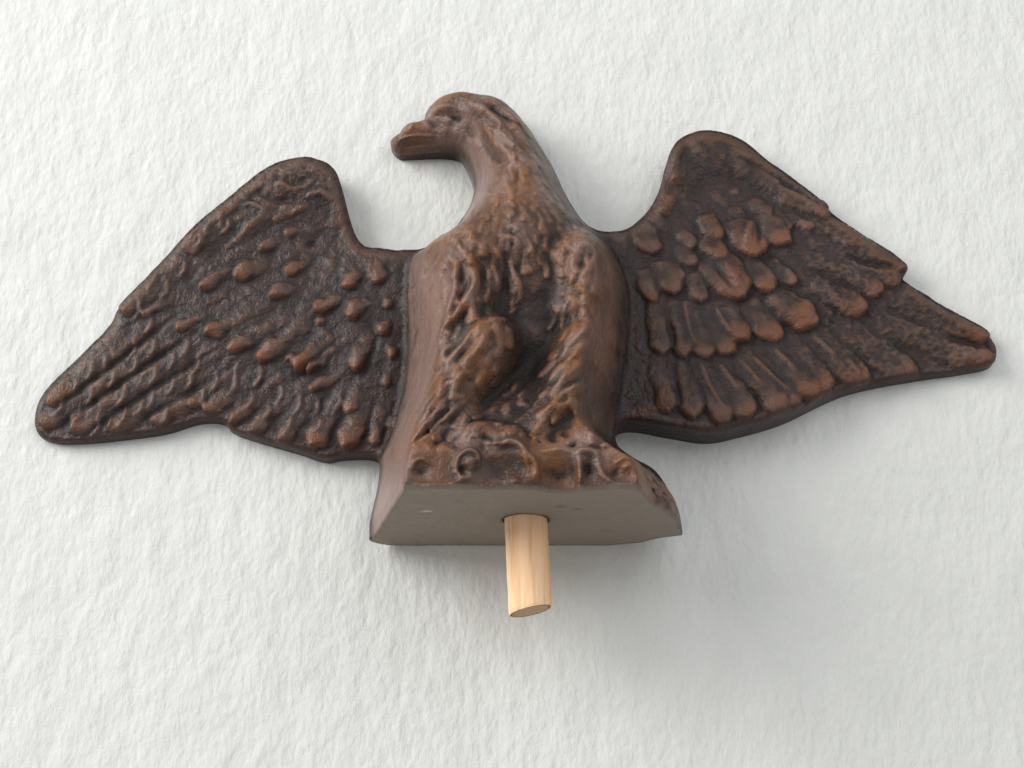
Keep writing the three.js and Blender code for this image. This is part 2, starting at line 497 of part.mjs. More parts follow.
// Heights on a square grid that runs past the outline all round
function sampleHeights() {
  const row = gridCells + 1;
  const pitch = gridSize / gridCells;
  const heights = new Float32Array(row * row).fill(spareHeight);
  const depths = new Float32Array(row * row).fill(-Infinity);
  for (let j = 0; j < row / 2 + 10; j += 1) {
    for (let i = 0; i < row; i += 1) {
      depths[j * row + i] = depthInside(outline, gridStartX + i * pitch, gridStartZ + j * pitch);
    }
  }
  for (let j = 1; j < row / 2; j += 1) {
    for (let i = 0; i < row; i += 1) {
      const at = j * row + i;
      if (depths[at] < -8) continue;
      const looksUp = (depths[at - row] - depths[at + row]) / (2 * pitch);
      const x = gridStartX + i * pitch;
      const z = gridStartZ + j * pitch;
      heights[at] = Math.max(reliefHeight(x, z) - rimDrop(depths[at], looksUp), leastHeight(x, z));
    }
  }
  return { heights, depths, row, pitch };
}

// How far off each grid point would be if the right triangle whose long side it halves stayed whole
function splitErrors(heights, depths, row, pitch) {
  const errors = new Float32Array(row * row);
  // Measured square to the surface, so a steep flank counts no more than a gentle one
  const squareTo = (at) => {
    const slopeX = (heights[at + 1] - heights[at - 1]) / (2 * pitch);
    const slopeZ = (heights[at + row] - heights[at - row]) / (2 * pitch);
    return 1 / Math.hypot(1, slopeX, slopeZ);
  };
  const triangles = 2 * gridCells * gridCells - 2;
  const parents = triangles - gridCells * gridCells;
  for (let number = triangles - 1; number >= 0; number -= 1) {
    let path = number + 2;
    let [ax, az, bx, bz, cx, cz] = [0, 0, 0, 0, 0, 0];
    if (path & 1) {
      bx = bz = cx = gridCells;
    } else {
      ax = az = cz = gridCells;
    }
    while ((path >>= 1) > 1) {
      const mx = (ax + bx) >> 1;
      const mz = (az + bz) >> 1;
      if (path & 1) {
        [bx, bz, ax, az] = [ax, az, cx, cz];
      } else {
        [ax, az, bx, bz] = [bx, bz, cx, cz];
      }
      [cx, cz] = [mx, mz];
    }
    const middle = ((az + bz) >> 1) * row + ((ax + bx) >> 1);
    const flat = (heights[az * row + ax] + heights[bz * row + bx]) / 2;
    const own = depths[middle] > -0.3 ? Math.abs(flat - heights[middle]) * squareTo(middle) : 0;
    errors[middle] = Math.max(errors[middle], own);
    if (number < parents) {
      const left = ((az + cz) >> 1) * row + ((ax + cx) >> 1);
      const right = ((bz + cz) >> 1) * row + ((bx + cx) >> 1);
      errors[middle] = Math.max(errors[middle], errors[left], errors[right]);
    }
  }
  return errors;
}

function toManifold(geometry) {
  const bare = new THREE.BufferGeometry();
  bare.setAttribute("position", geometry.getAttribute("position"));
  if (geometry.index) bare.setIndex(geometry.index);
  const merged = mergeVertices(bare, 1e-4);
  const mesh = new wasm.Mesh({
    numProp: 3,
    vertProperties: new Float32Array(merged.getAttribute("position").array),
    triVerts: new Uint32Array(merged.index.array),
  });
  return new wasm.Manifold(mesh);
}

function toGeometry(manifold) {
  const mesh = manifold.getMesh();
  const geometry = new THREE.BufferGeometry();
  geometry.setAttribute("position", new THREE.BufferAttribute(mesh.vertProperties, 3));
  geometry.setIndex(new THREE.BufferAttribute(mesh.triVerts, 1));
  geometry.computeVertexNormals();
  return geometry;
}

// The relief as a closed block: its face split only where the heights ask for it, straight sides,
// and a flat back a little behind the real one
function reliefBlock() {
  const { heights, depths, row, pitch } = sampleHeights();
  const errors = splitErrors(heights, depths, row, pitch);
  const numbers = new Map();
  const places = [];
  const faces = [];
  const placeOf = (i, j) => {
    const at = j * row + i;
    if (!numbers.has(at)) {
      numbers.set(at, places.length / 3);
      places.push(gridStartX + i * pitch, backY - heights[at], gridStartZ + j * pitch);
    }
    return numbers.get(at);
  };
  const split = (ax, az, bx, bz, cx, cz) => {
    const mx = (ax + bx) >> 1;
    const mz = (az + bz) >> 1;
    if (Math.abs(ax - cx) + Math.abs(az - cz) > 1 && errors[mz * row + mx] > reliefTolerance) {
      split(cx, cz, ax, az, mx, mz);
      split(bx, bz, cx, cz, mx, mz);
    } else {
      faces.push([placeOf(ax, az), placeOf(cx, cz), placeOf(bx, bz)]);
    }
  };
  split(0, 0, gridCells, gridCells, gridCells, 0);
  split(gridCells, gridCells, 0, 0, 0, gridCells);

  const edges = new Set(faces.flatMap(([a, b, c]) => [`${a} ${b}`, `${b} ${c}`, `${c} ${a}`]));
  const pairs = [...edges].map((edge) => edge.split(" ").map(Number));
  const rim = pairs.filter(([a, b]) => !edges.has(`${b} ${a}`));
  const below = new Map();
  const behind = backY + cutBehind;
  for (const [a] of rim) {
    below.set(a, places.length / 3);
    places.push(places[3 * a], behind, places[3 * a + 2]);
  }
  const centre = places.length / 3;
  places.push(gridStartX + gridSize / 2, behind, gridStartZ + gridSize / 2);
  for (const [a, b] of rim) {
    faces.push([b, a, below.get(a)], [b, below.get(a), below.get(b)], [below.get(b), below.get(a), centre]);
  }
  const block = new THREE.BufferGeometry();
  block.setAttribute("position", new THREE.Float32BufferAttribute(places, 3));
  block.setIndex(faces.flat());
  return toManifold(block);
}

// A straight solid whose section is a closed line in X and Z, from the flat back forwards
function plateSolid(ring) {
  const shape = new THREE.Shape(ring.map(([x, z]) => new THREE.Vector2(x, z)));
  const plate = new THREE.ExtrudeGeometry(shape, { depth: cutAhead, bevelEnabled: false });
  plate.rotateX(Math.PI / 2);
  plate.translate(0, backY, 0);
  return toManifold(plate);
}

// What is rounded off one of the base's back corners: a straight solid whose section is in X and Y
function cornerSolid(corner, outerX) {
  const points = corner.map(([x, height]) => new THREE.Vector2(x, backY - height));
  points.push(new THREE.Vector2(outerX, points.at(-1).y), new THREE.Vector2(outerX, backY + cutBehind));
  points.push(new THREE.Vector2(corner[0][0], backY + cutBehind));
  const depth = backCornerTopZ + cutBelow;
  const wedge = new THREE.ExtrudeGeometry(new THREE.Shape(points), { depth, bevelEnabled: false });
  wedge.translate(0, 0, -cutBelow);
  return toManifold(wedge);
}

// A cylinder along the dowel's leaning axis, from one distance along it to another, above the base's
// underside when positive. slope tips the lower end off square
function dowelCylinder(radius, low, high, slope) {
  const cylinder = new THREE.CylinderGeometry(radius, radius, high - low, dowelSides);
  cylinder.translate(0, (high + low) / 2, 0);
  const position = cylinder.getAttribute("position");
  for (let i = 0; i < position.count; i += 1) {
    if (position.getY(i) < (high + low) / 2) position.setY(i, position.getY(i) + slope * position.getX(i));
  }
  cylinder.rotateX(Math.PI / 2);
  cylinder.rotateY(-dowelLean);
  return cylinder;
}

function eagleGeometry() {
  const cast = reliefBlock().intersect(plateSolid(outline));
  const hole = toManifold(dowelCylinder(dowelRadius + fitGap, -cutBehind, dowelHidden + fitGap, 0));
  const leftCorner = cornerSolid(backCornerLeft, -cutBeside);
  const rightCorner = cornerSolid(backCornerRight, cutBeside);
  return toGeometry(cast.subtract(leftCorner).subtract(rightCorner).subtract(hole));
}

const eagle = new THREE.Mesh(
  eagleGeometry(),
  new THREE.MeshStandardMaterial({ color: castColour, roughness: 0.55, metalness: 0 }),
);
eagle.name = "eagle";

const dowel = new THREE.Mesh(
  dowelCylinder(dowelRadius, -dowelShown, dowelHidden, dowelEndSlope),
  new THREE.MeshStandardMaterial({ color: woodColour, roughness: 0.8, metalness: 0 }),
);
dowel.name = "peg";

const ornament = new THREE.Group();
ornament.add(eagle, dowel);
export default ornament;
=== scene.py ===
"""Looks of a flat-backed cast eagle ornament with a wooden dowel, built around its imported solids."""

# %% [markdown]
# # A cast eagle ornament
# The real thing is a furniture crest: an eagle in relief, pressed or cast in a dark composition, flat
# behind, with a wooden dowel that holds it on top of a mirror or a clock. The solids already have its
# outline and its main masses. Here the relief gets its feathers, toes and claws, and both pieces get
# their finish. Everything is worked out in millimetres, as one would measure it, and goes into Blender
# in metres.

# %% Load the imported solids
import math

import bpy
import numpy as np
from mathutils.geometry import delaunay_2d_cdt
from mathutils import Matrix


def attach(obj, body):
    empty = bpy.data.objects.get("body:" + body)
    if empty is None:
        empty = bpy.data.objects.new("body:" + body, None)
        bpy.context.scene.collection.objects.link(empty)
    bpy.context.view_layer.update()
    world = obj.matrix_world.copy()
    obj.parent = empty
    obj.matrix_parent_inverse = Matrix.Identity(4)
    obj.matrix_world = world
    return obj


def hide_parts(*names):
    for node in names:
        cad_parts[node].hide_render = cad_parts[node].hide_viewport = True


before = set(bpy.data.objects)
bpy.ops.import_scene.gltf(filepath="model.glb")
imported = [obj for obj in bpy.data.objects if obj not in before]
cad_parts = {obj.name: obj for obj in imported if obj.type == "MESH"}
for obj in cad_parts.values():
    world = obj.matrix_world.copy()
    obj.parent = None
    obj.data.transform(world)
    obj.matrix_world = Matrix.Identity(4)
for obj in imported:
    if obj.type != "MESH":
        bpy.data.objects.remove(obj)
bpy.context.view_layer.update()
MM = 0.001

# %% [markdown]
# ## The camera
# The object lay on its back and was photographed from below its feet. In the part's own frame, where
# the eagle stands upright, that is a camera in front of it and low down, looking up by about 21
# degrees. A real lens of 56 mm on a 36 mm wide sensor gives the same picture.

# %% Camera
CAMERA_PLACE = (-3.04, -340.34, -97.59)
CAMERA_PITCH = 20.876
camera_data = bpy.data.cameras.new("camera")
camera_data.lens = 56.25
camera_data.sensor_width = 36
camera_data.clip_start = 0.01
camera = bpy.data.objects.new("camera", camera_data)
camera.location = [value * MM for value in CAMERA_PLACE]
camera.rotation_euler = (math.radians(90 + CAMERA_PITCH), 0, 0)
bpy.context.collection.objects.link(camera)
bpy.context.scene.camera = camera
print("camera at", tuple(camera.location))

# %% [markdown]
# ## Small tools for heights
# A relief is a height above a flat back. Two heights can be joined with a soft crease between them,
# as clay would have it: that is soft_max. A wandering value made of five turned waves breaks up what
# would look drawn with a ruler, and it is the same on every run.

# %% Helpers for heights
WAVES = 5
WAVE_TURN = 2.399


def ease(low, high, value):
    """0 below low and 1 above high, with a smooth start and end: 3t² - 2t³."""
    t = np.clip((value - low) / (high - low), 0, 1)
    return t * t * (3 - 2 * t)


def soft_max(a, b, width):
    """The larger of two heights, plus width·m(1 - m) in the crease, where m runs from 0 to 1."""
    mix = np.clip(0.5 + 0.5 * (a - b) / width, 0, 1)
    return b + (a - b) * mix + width * mix * (1 - mix)


def soft_min(a, b, width):
    """The smaller of two heights, rounded over in the same way."""
    return -soft_max(-a, -b, width)


def wander(x, z, size, seed):
    """A value from about -1 to 1 that changes over the given size: five sine waves, each turned by
    137 degrees more and bent by a slower one."""
    total = np.zeros(np.shape(x))
    for i in range(WAVES):
        turn = seed * 1.7 + i * WAVE_TURN
        beat = 2 * np.pi / size * (0.7 + 0.23 * i)
        start = seed * 3.1 + i * 1.3
        along = x * np.cos(turn) + z * np.sin(turn)
        across = z * np.cos(turn) - x * np.sin(turn)
        total = total + np.sin(beat * along + start + 1.7 * np.sin(0.6 * beat * across + 2 * start))
    return total / 2.6


def scatter(number):
    """A value from -1 to 1 that is always the same for the same number."""
    value = math.sin(number * 127.1 + 311.7) * 43758.5453
    return 2 * (value - math.floor(value)) - 1


print("soft_max of 1 and 1:", float(soft_max(1.0, 1.0, 1.0)))

# %% [markdown]
# ## The outline
# A mould for such a part starts from a drawn outline, so this is one too: points in x and z, in
# millimetres, with a smooth curve through them. The body's own sides are a second pair of curves,
# because there the breast rises steeply out of the wings.

# %% Outline points
OUTLINE_RIGHT = [
    (-31.5, 101.3), (-33.1, 102.6), (-34, 105), (-33.3, 106.3), (-31.7, 107.3), (-31.4, 108.4),
    (-29.6, 110), (-27.4, 110.5), (-25.6, 111.4), (-25.2, 113.4), (-24, 115.8), (-22, 117), (-15.3, 117.75),
    (-7.2, 116), (-0.3, 111), (6.4, 98.8), (12, 85.8), (17, 79.2), (22.8, 77.8), (28.4, 80.8), (33, 87.7),
    (35.2, 95.3), (37, 100.4), (39.4, 103.6), (45.7, 106), (53.6, 104.6), (62, 98), (75, 86.7), (75.8, 85),
    (86.3, 76.4), (92, 71.6), (93.9, 69.6), (93.9, 68.2), (92.8, 66.9), (94.6, 65.2), (102.7, 59.3),
    (109, 55.5), (112.4, 53), (114.6, 48.6), (112.9, 44.5), (105, 42.4), (95.7, 41), (77, 37), (61, 29.5),
    (51.6, 26.6), (43.2, 24.9), (34.4, 26.2), (24.9, 27.8), (21.7, 26.8), (21.4, 21.8), (25, 18.7),
    (30.3, 15.1), (33.8, 7.7), (35.6, 0),
]
OUTLINE_LEFT = [
    (-35.8, 0), (-35.8, 4.5), (-34.2, 13.5), (-34.1, 18.4), (-35, 20.3), (-43.4, 20.6), (-46.5, 20),
    (-53.7, 22.2), (-69.6, 27.5), (-71.6, 29.5), (-76.8, 29.9), (-85.2, 27.3), (-94.2, 25.9), (-105, 24.8),
    (-112.5, 25.1), (-115.8, 27), (-117, 31.5), (-115.4, 37.3), (-105, 49), (-100.2, 55.2), (-99.2, 58.1),
    (-88.6, 71.7), (-81, 81), (-74, 87.4), (-64.3, 95.6), (-56.7, 98.4), (-50.4, 97.2), (-47.4, 95),
    (-45.4, 90), (-43, 81.3), (-41.3, 76.9), (-39.3, 74.4), (-36.5, 73.8), (-30.3, 73.2), (-24.7, 74.2),
    (-18.6, 78.3), (-14.1, 84.5), (-12.6, 91), (-14.4, 97.8), (-15.9, 100.3), (-18.5, 101.4),
]
FLANK_LEFT = [(-34.1, 18.4), (-30.5, 28), (-28.6, 38), (-28.2, 50), (-29, 62), (-28.5, 70.5), (-24.7, 74.2)]
FLANK_RIGHT = [(17, 79.2), (22, 72), (25.4, 62), (25.4, 50), (24, 38), (22.2, 28), (21.4, 21.8)]
CURVE_STEPS = 6
LINE_STEPS = 5


def smooth_line(points, steps):
    """A centripetal Catmull-Rom curve: each stretch is a blend of blends of its four nearest points,
    with their spacing measured as the square root of the distance between them."""
    given = np.array(points, float)
    padded = np.vstack([2 * given[0] - given[1], given, 2 * given[-1] - given[-2]])
    stretches = []
    for a, b, c, d in zip(padded, padded[1:], padded[2:], padded[3:]):
        spans = ((a, b), (b, c), (c, d))
        knots = np.cumsum([0] + [math.sqrt(math.dist(p, q)) for p, q in spans])
        s = np.linspace(knots[1], knots[2], steps, endpoint=False)[:, None]

        def between(p, q, low, high):
            return (high - s) / (high - low) * p + (s - low) / (high - low) * q

        ab, bc, cd = (between(p, q, knots[i], knots[i + 1]) for i, (p, q) in enumerate(spans))
        stretches.append(between(between(ab, bc, knots[0], knots[2]), between(bc, cd, knots[1], knots[3]),
                                 knots[1], knots[2]))
    return np.vstack(stretches + [given[-1:]])


def even_steps(line, spacing):
    """The same line with points at equal steps along it, both ends kept."""
    lengths = np.concatenate([[0], np.cumsum(np.hypot(*np.diff(line, axis=0).T))])
    places = np.linspace(0, lengths[-1], max(2, round(lengths[-1] / spacing) + 1))
    return np.c_[np.interp(places, lengths, line[:, 0]), np.interp(places, lengths, line[:, 1])]


right_side = smooth_line(OUTLINE_RIGHT, CURVE_STEPS)
left_side = smooth_line(OUTLINE_LEFT + OUTLINE_RIGHT[:1], CURVE_STEPS)
outline = np.vstack([right_side, left_side[:-1]])
print("outline", len(outline), "points, from", outline.min(0), "to", outline.max(0))


# %% Distances to a line
def nearest_on(line, x, z, closed=False):
    """For every point, the distance to the line, how far along it from 0 to 1, and the nearest place.
    Each straight stretch is tried in turn, with the foot of the perpendicular clipped to its ends."""
    ends = np.vstack([line, line[:1]]) if closed else line
    best = np.full(np.shape(x), np.inf)
    along, near_x, near_z = np.zeros_like(best), np.zeros_like(best), np.zeros_like(best)
    for i, ((ax, az), (bx, bz)) in enumerate(zip(ends, ends[1:])):
        ex, ez = bx - ax, bz - az
        t = np.clip(((x - ax) * ex + (z - az) * ez) / (ex * ex + ez * ez + 1e-12), 0, 1)
        px, pz = ax + t * ex, az + t * ez
        away = (x - px) ** 2 + (z - pz) ** 2
        closer = away < best
        best = np.where(closer, away, best)
        along = np.where(closer, (i + t) / (len(ends) - 1), along)
        near_x, near_z = np.where(closer, px, near_x), np.where(closer, pz, near_z)
    return np.sqrt(best), along, near_x, near_z


def is_inside(ring, x, z):
    """True where a ray to the right crosses the closed ring an odd number of times."""
    inside = np.zeros(np.shape(x), bool)
    for (ax, az), (bx, bz) in zip(ring, np.roll(ring, -1, axis=0)):
        if az != bz:
            inside ^= ((az > z) != (bz > z)) & (x < (bx - ax) * (z - az) / (bz - az) + ax)
    return inside


def depth_inside(ring, x, z):
    """Distance to the ring, positive inside and negative outside, and the nearest place on it."""
    away, _, near_x, near_z = nearest_on(ring, x, z, closed=True)
    return np.where(is_inside(ring, x, z), away, -away), near_x, near_z


def in_box(x, z, box):
    """True between the box's two limits in x and its two in z."""
    (low_x, high_x), (low_z, high_z) = box
    return (x > low_x) & (x < high_x) & (z > low_z) & (z < high_z)


def closest_index(line, point):
    """The number of the line's point that is closest to the given one."""
    return int(np.argmin(np.hypot(*(line - np.array(point)).T)))


throat, nape = closest_index(outline, FLANK_LEFT[-1]), closest_index(outline, FLANK_RIGHT[0])
right_hip, left_hip = closest_index(outline, FLANK_RIGHT[-1]), closest_index(outline, FLANK_LEFT[0])
# The base's flat underside is no flank, so the figure's ring passes far below it
UNDERSIDE_BELOW_Z, FAR_BELOW = 0.5, -30.0
base = outline[right_hip:left_hip + 1].copy()
base[base[:, 1] < UNDERSIDE_BELOW_Z, 1] = FAR_BELOW
figure = np.vstack([outline[throat:], outline[:nape + 1], smooth_line(FLANK_RIGHT, CURVE_STEPS), base,
                    smooth_line(FLANK_LEFT, CURVE_STEPS)])
print("figure ring", len(figure), "points")

# %% [markdown]
# ## The wings' plate
# Under the feathers each wing is a thin plate, thickest at the shoulder and along the wing's front
# edge, and only three or four millimetres at the tips. Its height is given at some sixty places, and
# a weighted mean of those gives a surface with no steps.

# %% Plate
PLATE_HEIGHTS = [
    (-36, 66, 8.5), (-36, 45, 7.5), (-36, 26, 6.5), (-46, 90, 8.5), (-55, 95, 9.5), (-50, 78, 6),
    (-62, 90, 8.5), (-66, 72, 6.5), (-76, 84, 7.5), (-52, 60, 7), (-60, 50, 6.5), (-50, 36, 6),
    (-46, 24, 5.5), (-58, 28, 5), (-70, 34, 4.6), (-84, 72, 6.5), (-78, 56, 6), (-92, 62, 6),
    (-98, 55, 5.2), (-88, 44, 4.8), (-84, 31, 4.2), (-104, 46, 4.6), (-98, 30, 4), (-112, 34, 3.6),
    (-114, 28, 3.2), (28, 76, 9), (28, 60, 9.5), (28, 44, 10), (28, 32, 10.5), (34, 92, 10), (38, 100, 10),
    (47, 103, 9.5), (46, 92, 5.5), (56, 88, 5.5), (58, 99, 7.5), (66, 92, 7), (40, 80, 7.5), (52, 74, 8),
    (40, 64, 8.5), (52, 62, 8.5), (40, 48, 9.5), (54, 48, 9), (40, 31, 11), (52, 31, 10.8), (62, 34, 9.6),
    (70, 78, 7), (76, 84, 6), (66, 64, 7.5), (66, 50, 7.5), (80, 70, 6.2), (90, 72, 5.6), (80, 56, 5.6),
    (74, 40, 7), (84, 42, 4.6), (92, 60, 4.6), (96, 46, 3.8), (104, 56, 4), (106, 46, 3.6), (112, 49, 3.2),
    (-30, 104, 3), (-20, 112, 3), (-8, 108, 3), (2, 98, 3.5), (8, 88, 4), (-13, 92, 3.5), (-20, 78, 6),
]
PLATE_BLEND = 7.5


def blended(places, blend, x, z):
    """Mean of the values given at places, each weighted by exp(-distance² / 2·blend²)."""
    places = np.array(places, float)
    away2 = (x[:, None] - places[:, 0]) ** 2 + (z[:, None] - places[:, 1]) ** 2
    weight = np.exp(-away2 / (2 * blend ** 2)) + 1e-12
    return weight @ places[:, 2] / weight.sum(axis=1)


print("plate at the left tip", blended(PLATE_HEIGHTS, PLATE_BLEND, np.array([-114.0]), np.array([28.0])))

# %% [markdown]
# ## The feathers
# The pattern for the mould was carved feather by feather, and no two are alike. So each is given by
# its root, its tip, its width and how far its tip stands up. A feather is rounded across, rises
# towards its tip and ends round, and where feathers overlap, the highest shows. The left wing's are
# slim drops, the right wing's are broad scales over long flutes.

# %% Feathers of both wings
LEFT_FEATHERS = [
    # root x and z, tip x and z, width, lift. Along the front edge, and the small ones behind it:
    (-68, 84.5, -83.6, 73, 6.4, 0.9), (-80, 71.5, -98.2, 57.2, 6.4, 1.1), (-84, 61, -93, 56.4, 3.2, 0.9),
    (-70, 69.5, -78.7, 62.7, 3.8, 1.5), (-61, 71, -70.7, 65.8, 5, 1.4), (-51, 71.5, -58.2, 66.8, 3.6, 1.3),
    (-58.5, 76.5, -65.2, 73.3, 3.4, 1.1), (-53.5, 80.5, -59, 77.1, 2.8, 0.9),
    (-55, 64.5, -62, 60.4, 4.1, 1.5), (-43.5, 61, -50.8, 56.9, 3.8, 1.5), (-48.2, 55.2, -49.9, 53, 2.4, 1),
    (-37, 60, -43.2, 54.3, 4.4, 1.5), (-39.5, 68, -43.8, 62.4, 3.8, 1.3), (-34.6, 73, -36, 63.4, 4.6, 1.1),
    (-60, 59.5, -77.3, 51.2, 4.6, 1.5), (-76, 57, -83.8, 52.5, 3, 1), (-56, 56, -71.1, 46.9, 4.2, 1.3),
    (-51, 55, -63.8, 44.4, 5, 1.4), (-52, 48, -57, 44, 2.4, 1), (-45.5, 52, -55.1, 41.9, 4.8, 2),
    (-44.5, 48, -51.7, 41, 3, 1.4), (-37.5, 51.5, -40.7, 40.8, 4.6, 2), (-41.5, 42.5, -51, 36.5, 3.4, 1.3),
    (-32.6, 59.5, -33.2, 57, 2.5, 1.1), (-33.5, 54, -34, 49.7, 3.6, 1.5),
    (-31.6, 47.4, -32.1, 44.4, 2.8, 1.2), (-32.5, 40.3, -33, 37, 2.7, 1.1),
    (-31.2, 30, -31.6, 26.7, 2.7, 1),
    # The lower row, and the long ones to the wing's tip:
    (-60, 43.5, -76.2, 31.6, 4.6, 1), (-64, 46.5, -80, 33.3, 4.4, 0.9), (-56, 42, -70, 28.7, 4.2, 1.2),
    (-52, 40, -65, 26, 4.2, 1.1), (-47, 39, -58, 23.4, 4.6, 1.4), (-41.5, 38.5, -50.4, 22.2, 5.4, 1.6),
    (-36.5, 38, -42.3, 21.6, 5.8, 1.7), (-38.5, 40, -42, 30.3, 4.2, 1.2), (-32.5, 36, -35.6, 22.5, 4, 1),
    (-86, 57.5, -114, 33.5, 5.8, 1.1), (-80, 55.5, -115, 28.8, 5.6, 0.9), (-76, 50.5, -108, 27.5, 5.8, 1.1),
    (-72, 45.8, -98.5, 27, 5, 1), (-70, 41.5, -88.5, 28.6, 4.4, 0.9),
]
RIGHT_FEATHERS = [
    # The small ones at the shoulder and the scales:
    (38, 78.5, 41.2, 72.6, 3.8, 1), (44, 83, 48.2, 75.4, 4.8, 1.4), (28, 80, 31.8, 71, 5.6, 1.4),
    (37.2, 74.5, 41.6, 67.5, 4.2, 1.1), (43.5, 77, 48.5, 69.6, 5.4, 1.7), (52, 83.5, 57, 70.8, 8, 1.8),
    (57, 84, 64.7, 74.1, 6.4, 1.7), (50, 85.5, 55.2, 80.3, 4.2, 0.8), (56, 88, 61.2, 82.3, 4.6, 0.8),
    (64, 83.5, 71.2, 79, 3.2, 1.1), (61, 89.5, 76, 83.4, 5, 1.3), (61.5, 84, 66.2, 78.8, 3.2, 0.9),
    (34, 71, 35.8, 60.2, 6.6, 1.4), (29.4, 68, 30.6, 58.4, 5, 1.2), (41, 67, 42.4, 58, 4.4, 1.4),
    (45, 72, 52.6, 59.2, 9.2, 2.2), (54, 71, 60, 61.2, 5.8, 1.6), (59, 70, 65.8, 63.2, 4.2, 1.2),
    (66, 84, 94.6, 68.8, 5.8, 1.4), (68, 78, 91.8, 65.3, 5.8, 1.1), (69, 72.5, 87.2, 62.2, 5.8, 1.2),
    (67, 65.5, 82.8, 56.8, 6, 1.5), (57.5, 61, 70.2, 52.8, 7.6, 2.1), (52, 60, 60.6, 48.2, 6.6, 1.5),
    (46.5, 61, 52.2, 47.5, 6.2, 1.9), (31, 62, 32.6, 43.7, 4.8, 1.3), (35, 61, 38, 43.2, 5, 1.4),
    (39, 61, 43.2, 42.9, 5.2, 1.4), (42.5, 60, 48.8, 43.9, 5.6, 1.6),
    # The long ones along the wing's lower edge, and the two lobes of its tip:
    (30.5, 46, 33.8, 29.4, 5, 1), (35, 46, 39.8, 27.9, 5.4, 1.3), (40, 46, 46.8, 26.6, 5.6, 1.6),
    (45, 46, 52.5, 27.2, 5.6, 1.5), (49.5, 47, 61, 29.2, 6.2, 1.7), (54, 48, 64.6, 31, 4.6, 1.2),
    (57.5, 50, 69.2, 33, 6, 1.9), (61.5, 52, 72.2, 35.8, 5.6, 1.4), (66, 54, 81.4, 37.8, 7.2, 1.4),
    (74, 55, 94, 39.6, 7.6, 1.4), (84, 55, 113.4, 44.4, 7, 1.3), (88, 63.5, 112.8, 50.6, 7.6, 1.4),
]
WING_FLOW = [
    # x, z, direction in degrees from +x
    (-50, 85, -140), (-80, 70, -140), (-60, 60, -135), (-40, 60, -118), (-100, 45, -140), (-80, 40, -135),
    (-50, 35, -116), (-38, 30, -100), (36, 80, -75), (50, 85, -50), (70, 85, -30), (40, 60, -85),
    (55, 60, -60), (75, 70, -35), (90, 60, -30), (50, 40, -65), (70, 45, -45), (95, 50, -22), (32, 40, -86),
]
FLOW_BLEND = 9.0
# Factors on each wing's roots, tips, widths and lifts
LEFT_FACTORS = (1, 1, 1, 1, 1.1, 1.3)
RIGHT_FACTORS = (1, 1, 1, 1, 1.2, 1.2)
# The power of the rounding across, and the share of the lift that comes close to the tip
LEFT_CUT = {"crown": 0.7, "swell": 0.45}
RIGHT_CUT = {"crown": 0.4, "swell": 0.15}
BACKGROUND_CUT = {"crown": 0.8, "swell": 0}
TUFT_CUT = {"crown": 0.9, "swell": 0.2}

# %% Feather heights
# A feather's form, as shares of its width or of its length
ROUNDING = 0.55
LEAST_STRAIGHT = 0.1
ROOT_WIDTH = 0.85
ROOT_RISE = 0.35
ROOT_EASE = 0.2
SWELL_FROM = 1.7
SWELL_TO = 0.4
TIP_FROM = 1.1
FEATHER_WAVE = 0.4
FEATHER_WAVE_SIZE = 9


def feather_height(feathers, x, z, crown, swell):
    """Height over the plate of the highest feather, and how much of a tip it is there. With u from root
    to tip and v from -1 to 1 across, a feather is lift·rise·(1 - v²)^crown, where rise is a slope along
    u plus a swelling near the tip, and its sides follow an ellipse there. A small crown gives a flat
    one that ends in a step."""
    bent_x = x + FEATHER_WAVE * wander(x, z, FEATHER_WAVE_SIZE, 1)
    bent_z = z + FEATHER_WAVE * wander(x, z, FEATHER_WAVE_SIZE, 2)
    best, tips = np.zeros_like(x), np.zeros_like(x)
    for root_x, root_z, tip_x, tip_z, width, lift in feathers:
        length = math.hypot(tip_x - root_x, tip_z - root_z)
        ax, az = (tip_x - root_x) / length, (tip_z - root_z) / length
        from_middle = np.hypot(x - (root_x + tip_x) / 2, z - (root_z + tip_z) / 2)
        near = np.flatnonzero(from_middle < length / 2 + width)
        dx, dz = bent_x[near] - root_x, bent_z[near] - root_z
        u = (dx * ax + dz * az) / length
        v = dz * ax - dx * az
        round_from = max(LEAST_STRAIGHT, 1 - ROUNDING * width / length)
        into_tip = np.clip((u - round_from) / (1 - round_from), 0, 1)
        widening = ROOT_WIDTH + (1 - ROOT_WIDTH) * np.clip(u / round_from, 0, 1)
        narrowing = np.where(u > round_from, np.sqrt(1 - into_tip ** 2), widening)
        v = v / np.maximum(width / 2 * narrowing, 1e-6)
        dome = np.where((u < 0) | (u > 1), 0, np.clip(1 - v ** 2, 0, 1)) ** crown
        swelling = ease(1 - SWELL_FROM * width / length, 1 - SWELL_TO * width / length, u)
        slope = ease(0, ROOT_EASE, u) * (ROOT_RISE + (1 - ROOT_RISE) * u)
        height = lift * ((1 - swell) * slope + swell * swelling) * dome
        higher = height > best[near]
        at_end = ease(1 - TIP_FROM * width / length, 1, u)
        tips[near] = np.where(higher, at_end * dome * lift, tips[near])
        best[near] = np.maximum(best[near], height)
    return best, tips


# The grid's rows, and by how much its feathers leave it, both as a share of its step, and how much they
# turn and differ in length, width and lift
ROW_SHARE = 0.87
GRID_SHARE = 0.4
TURN_DEGREES = 14
SIZE_SHARES = (0.25, 0.25, 0.5)


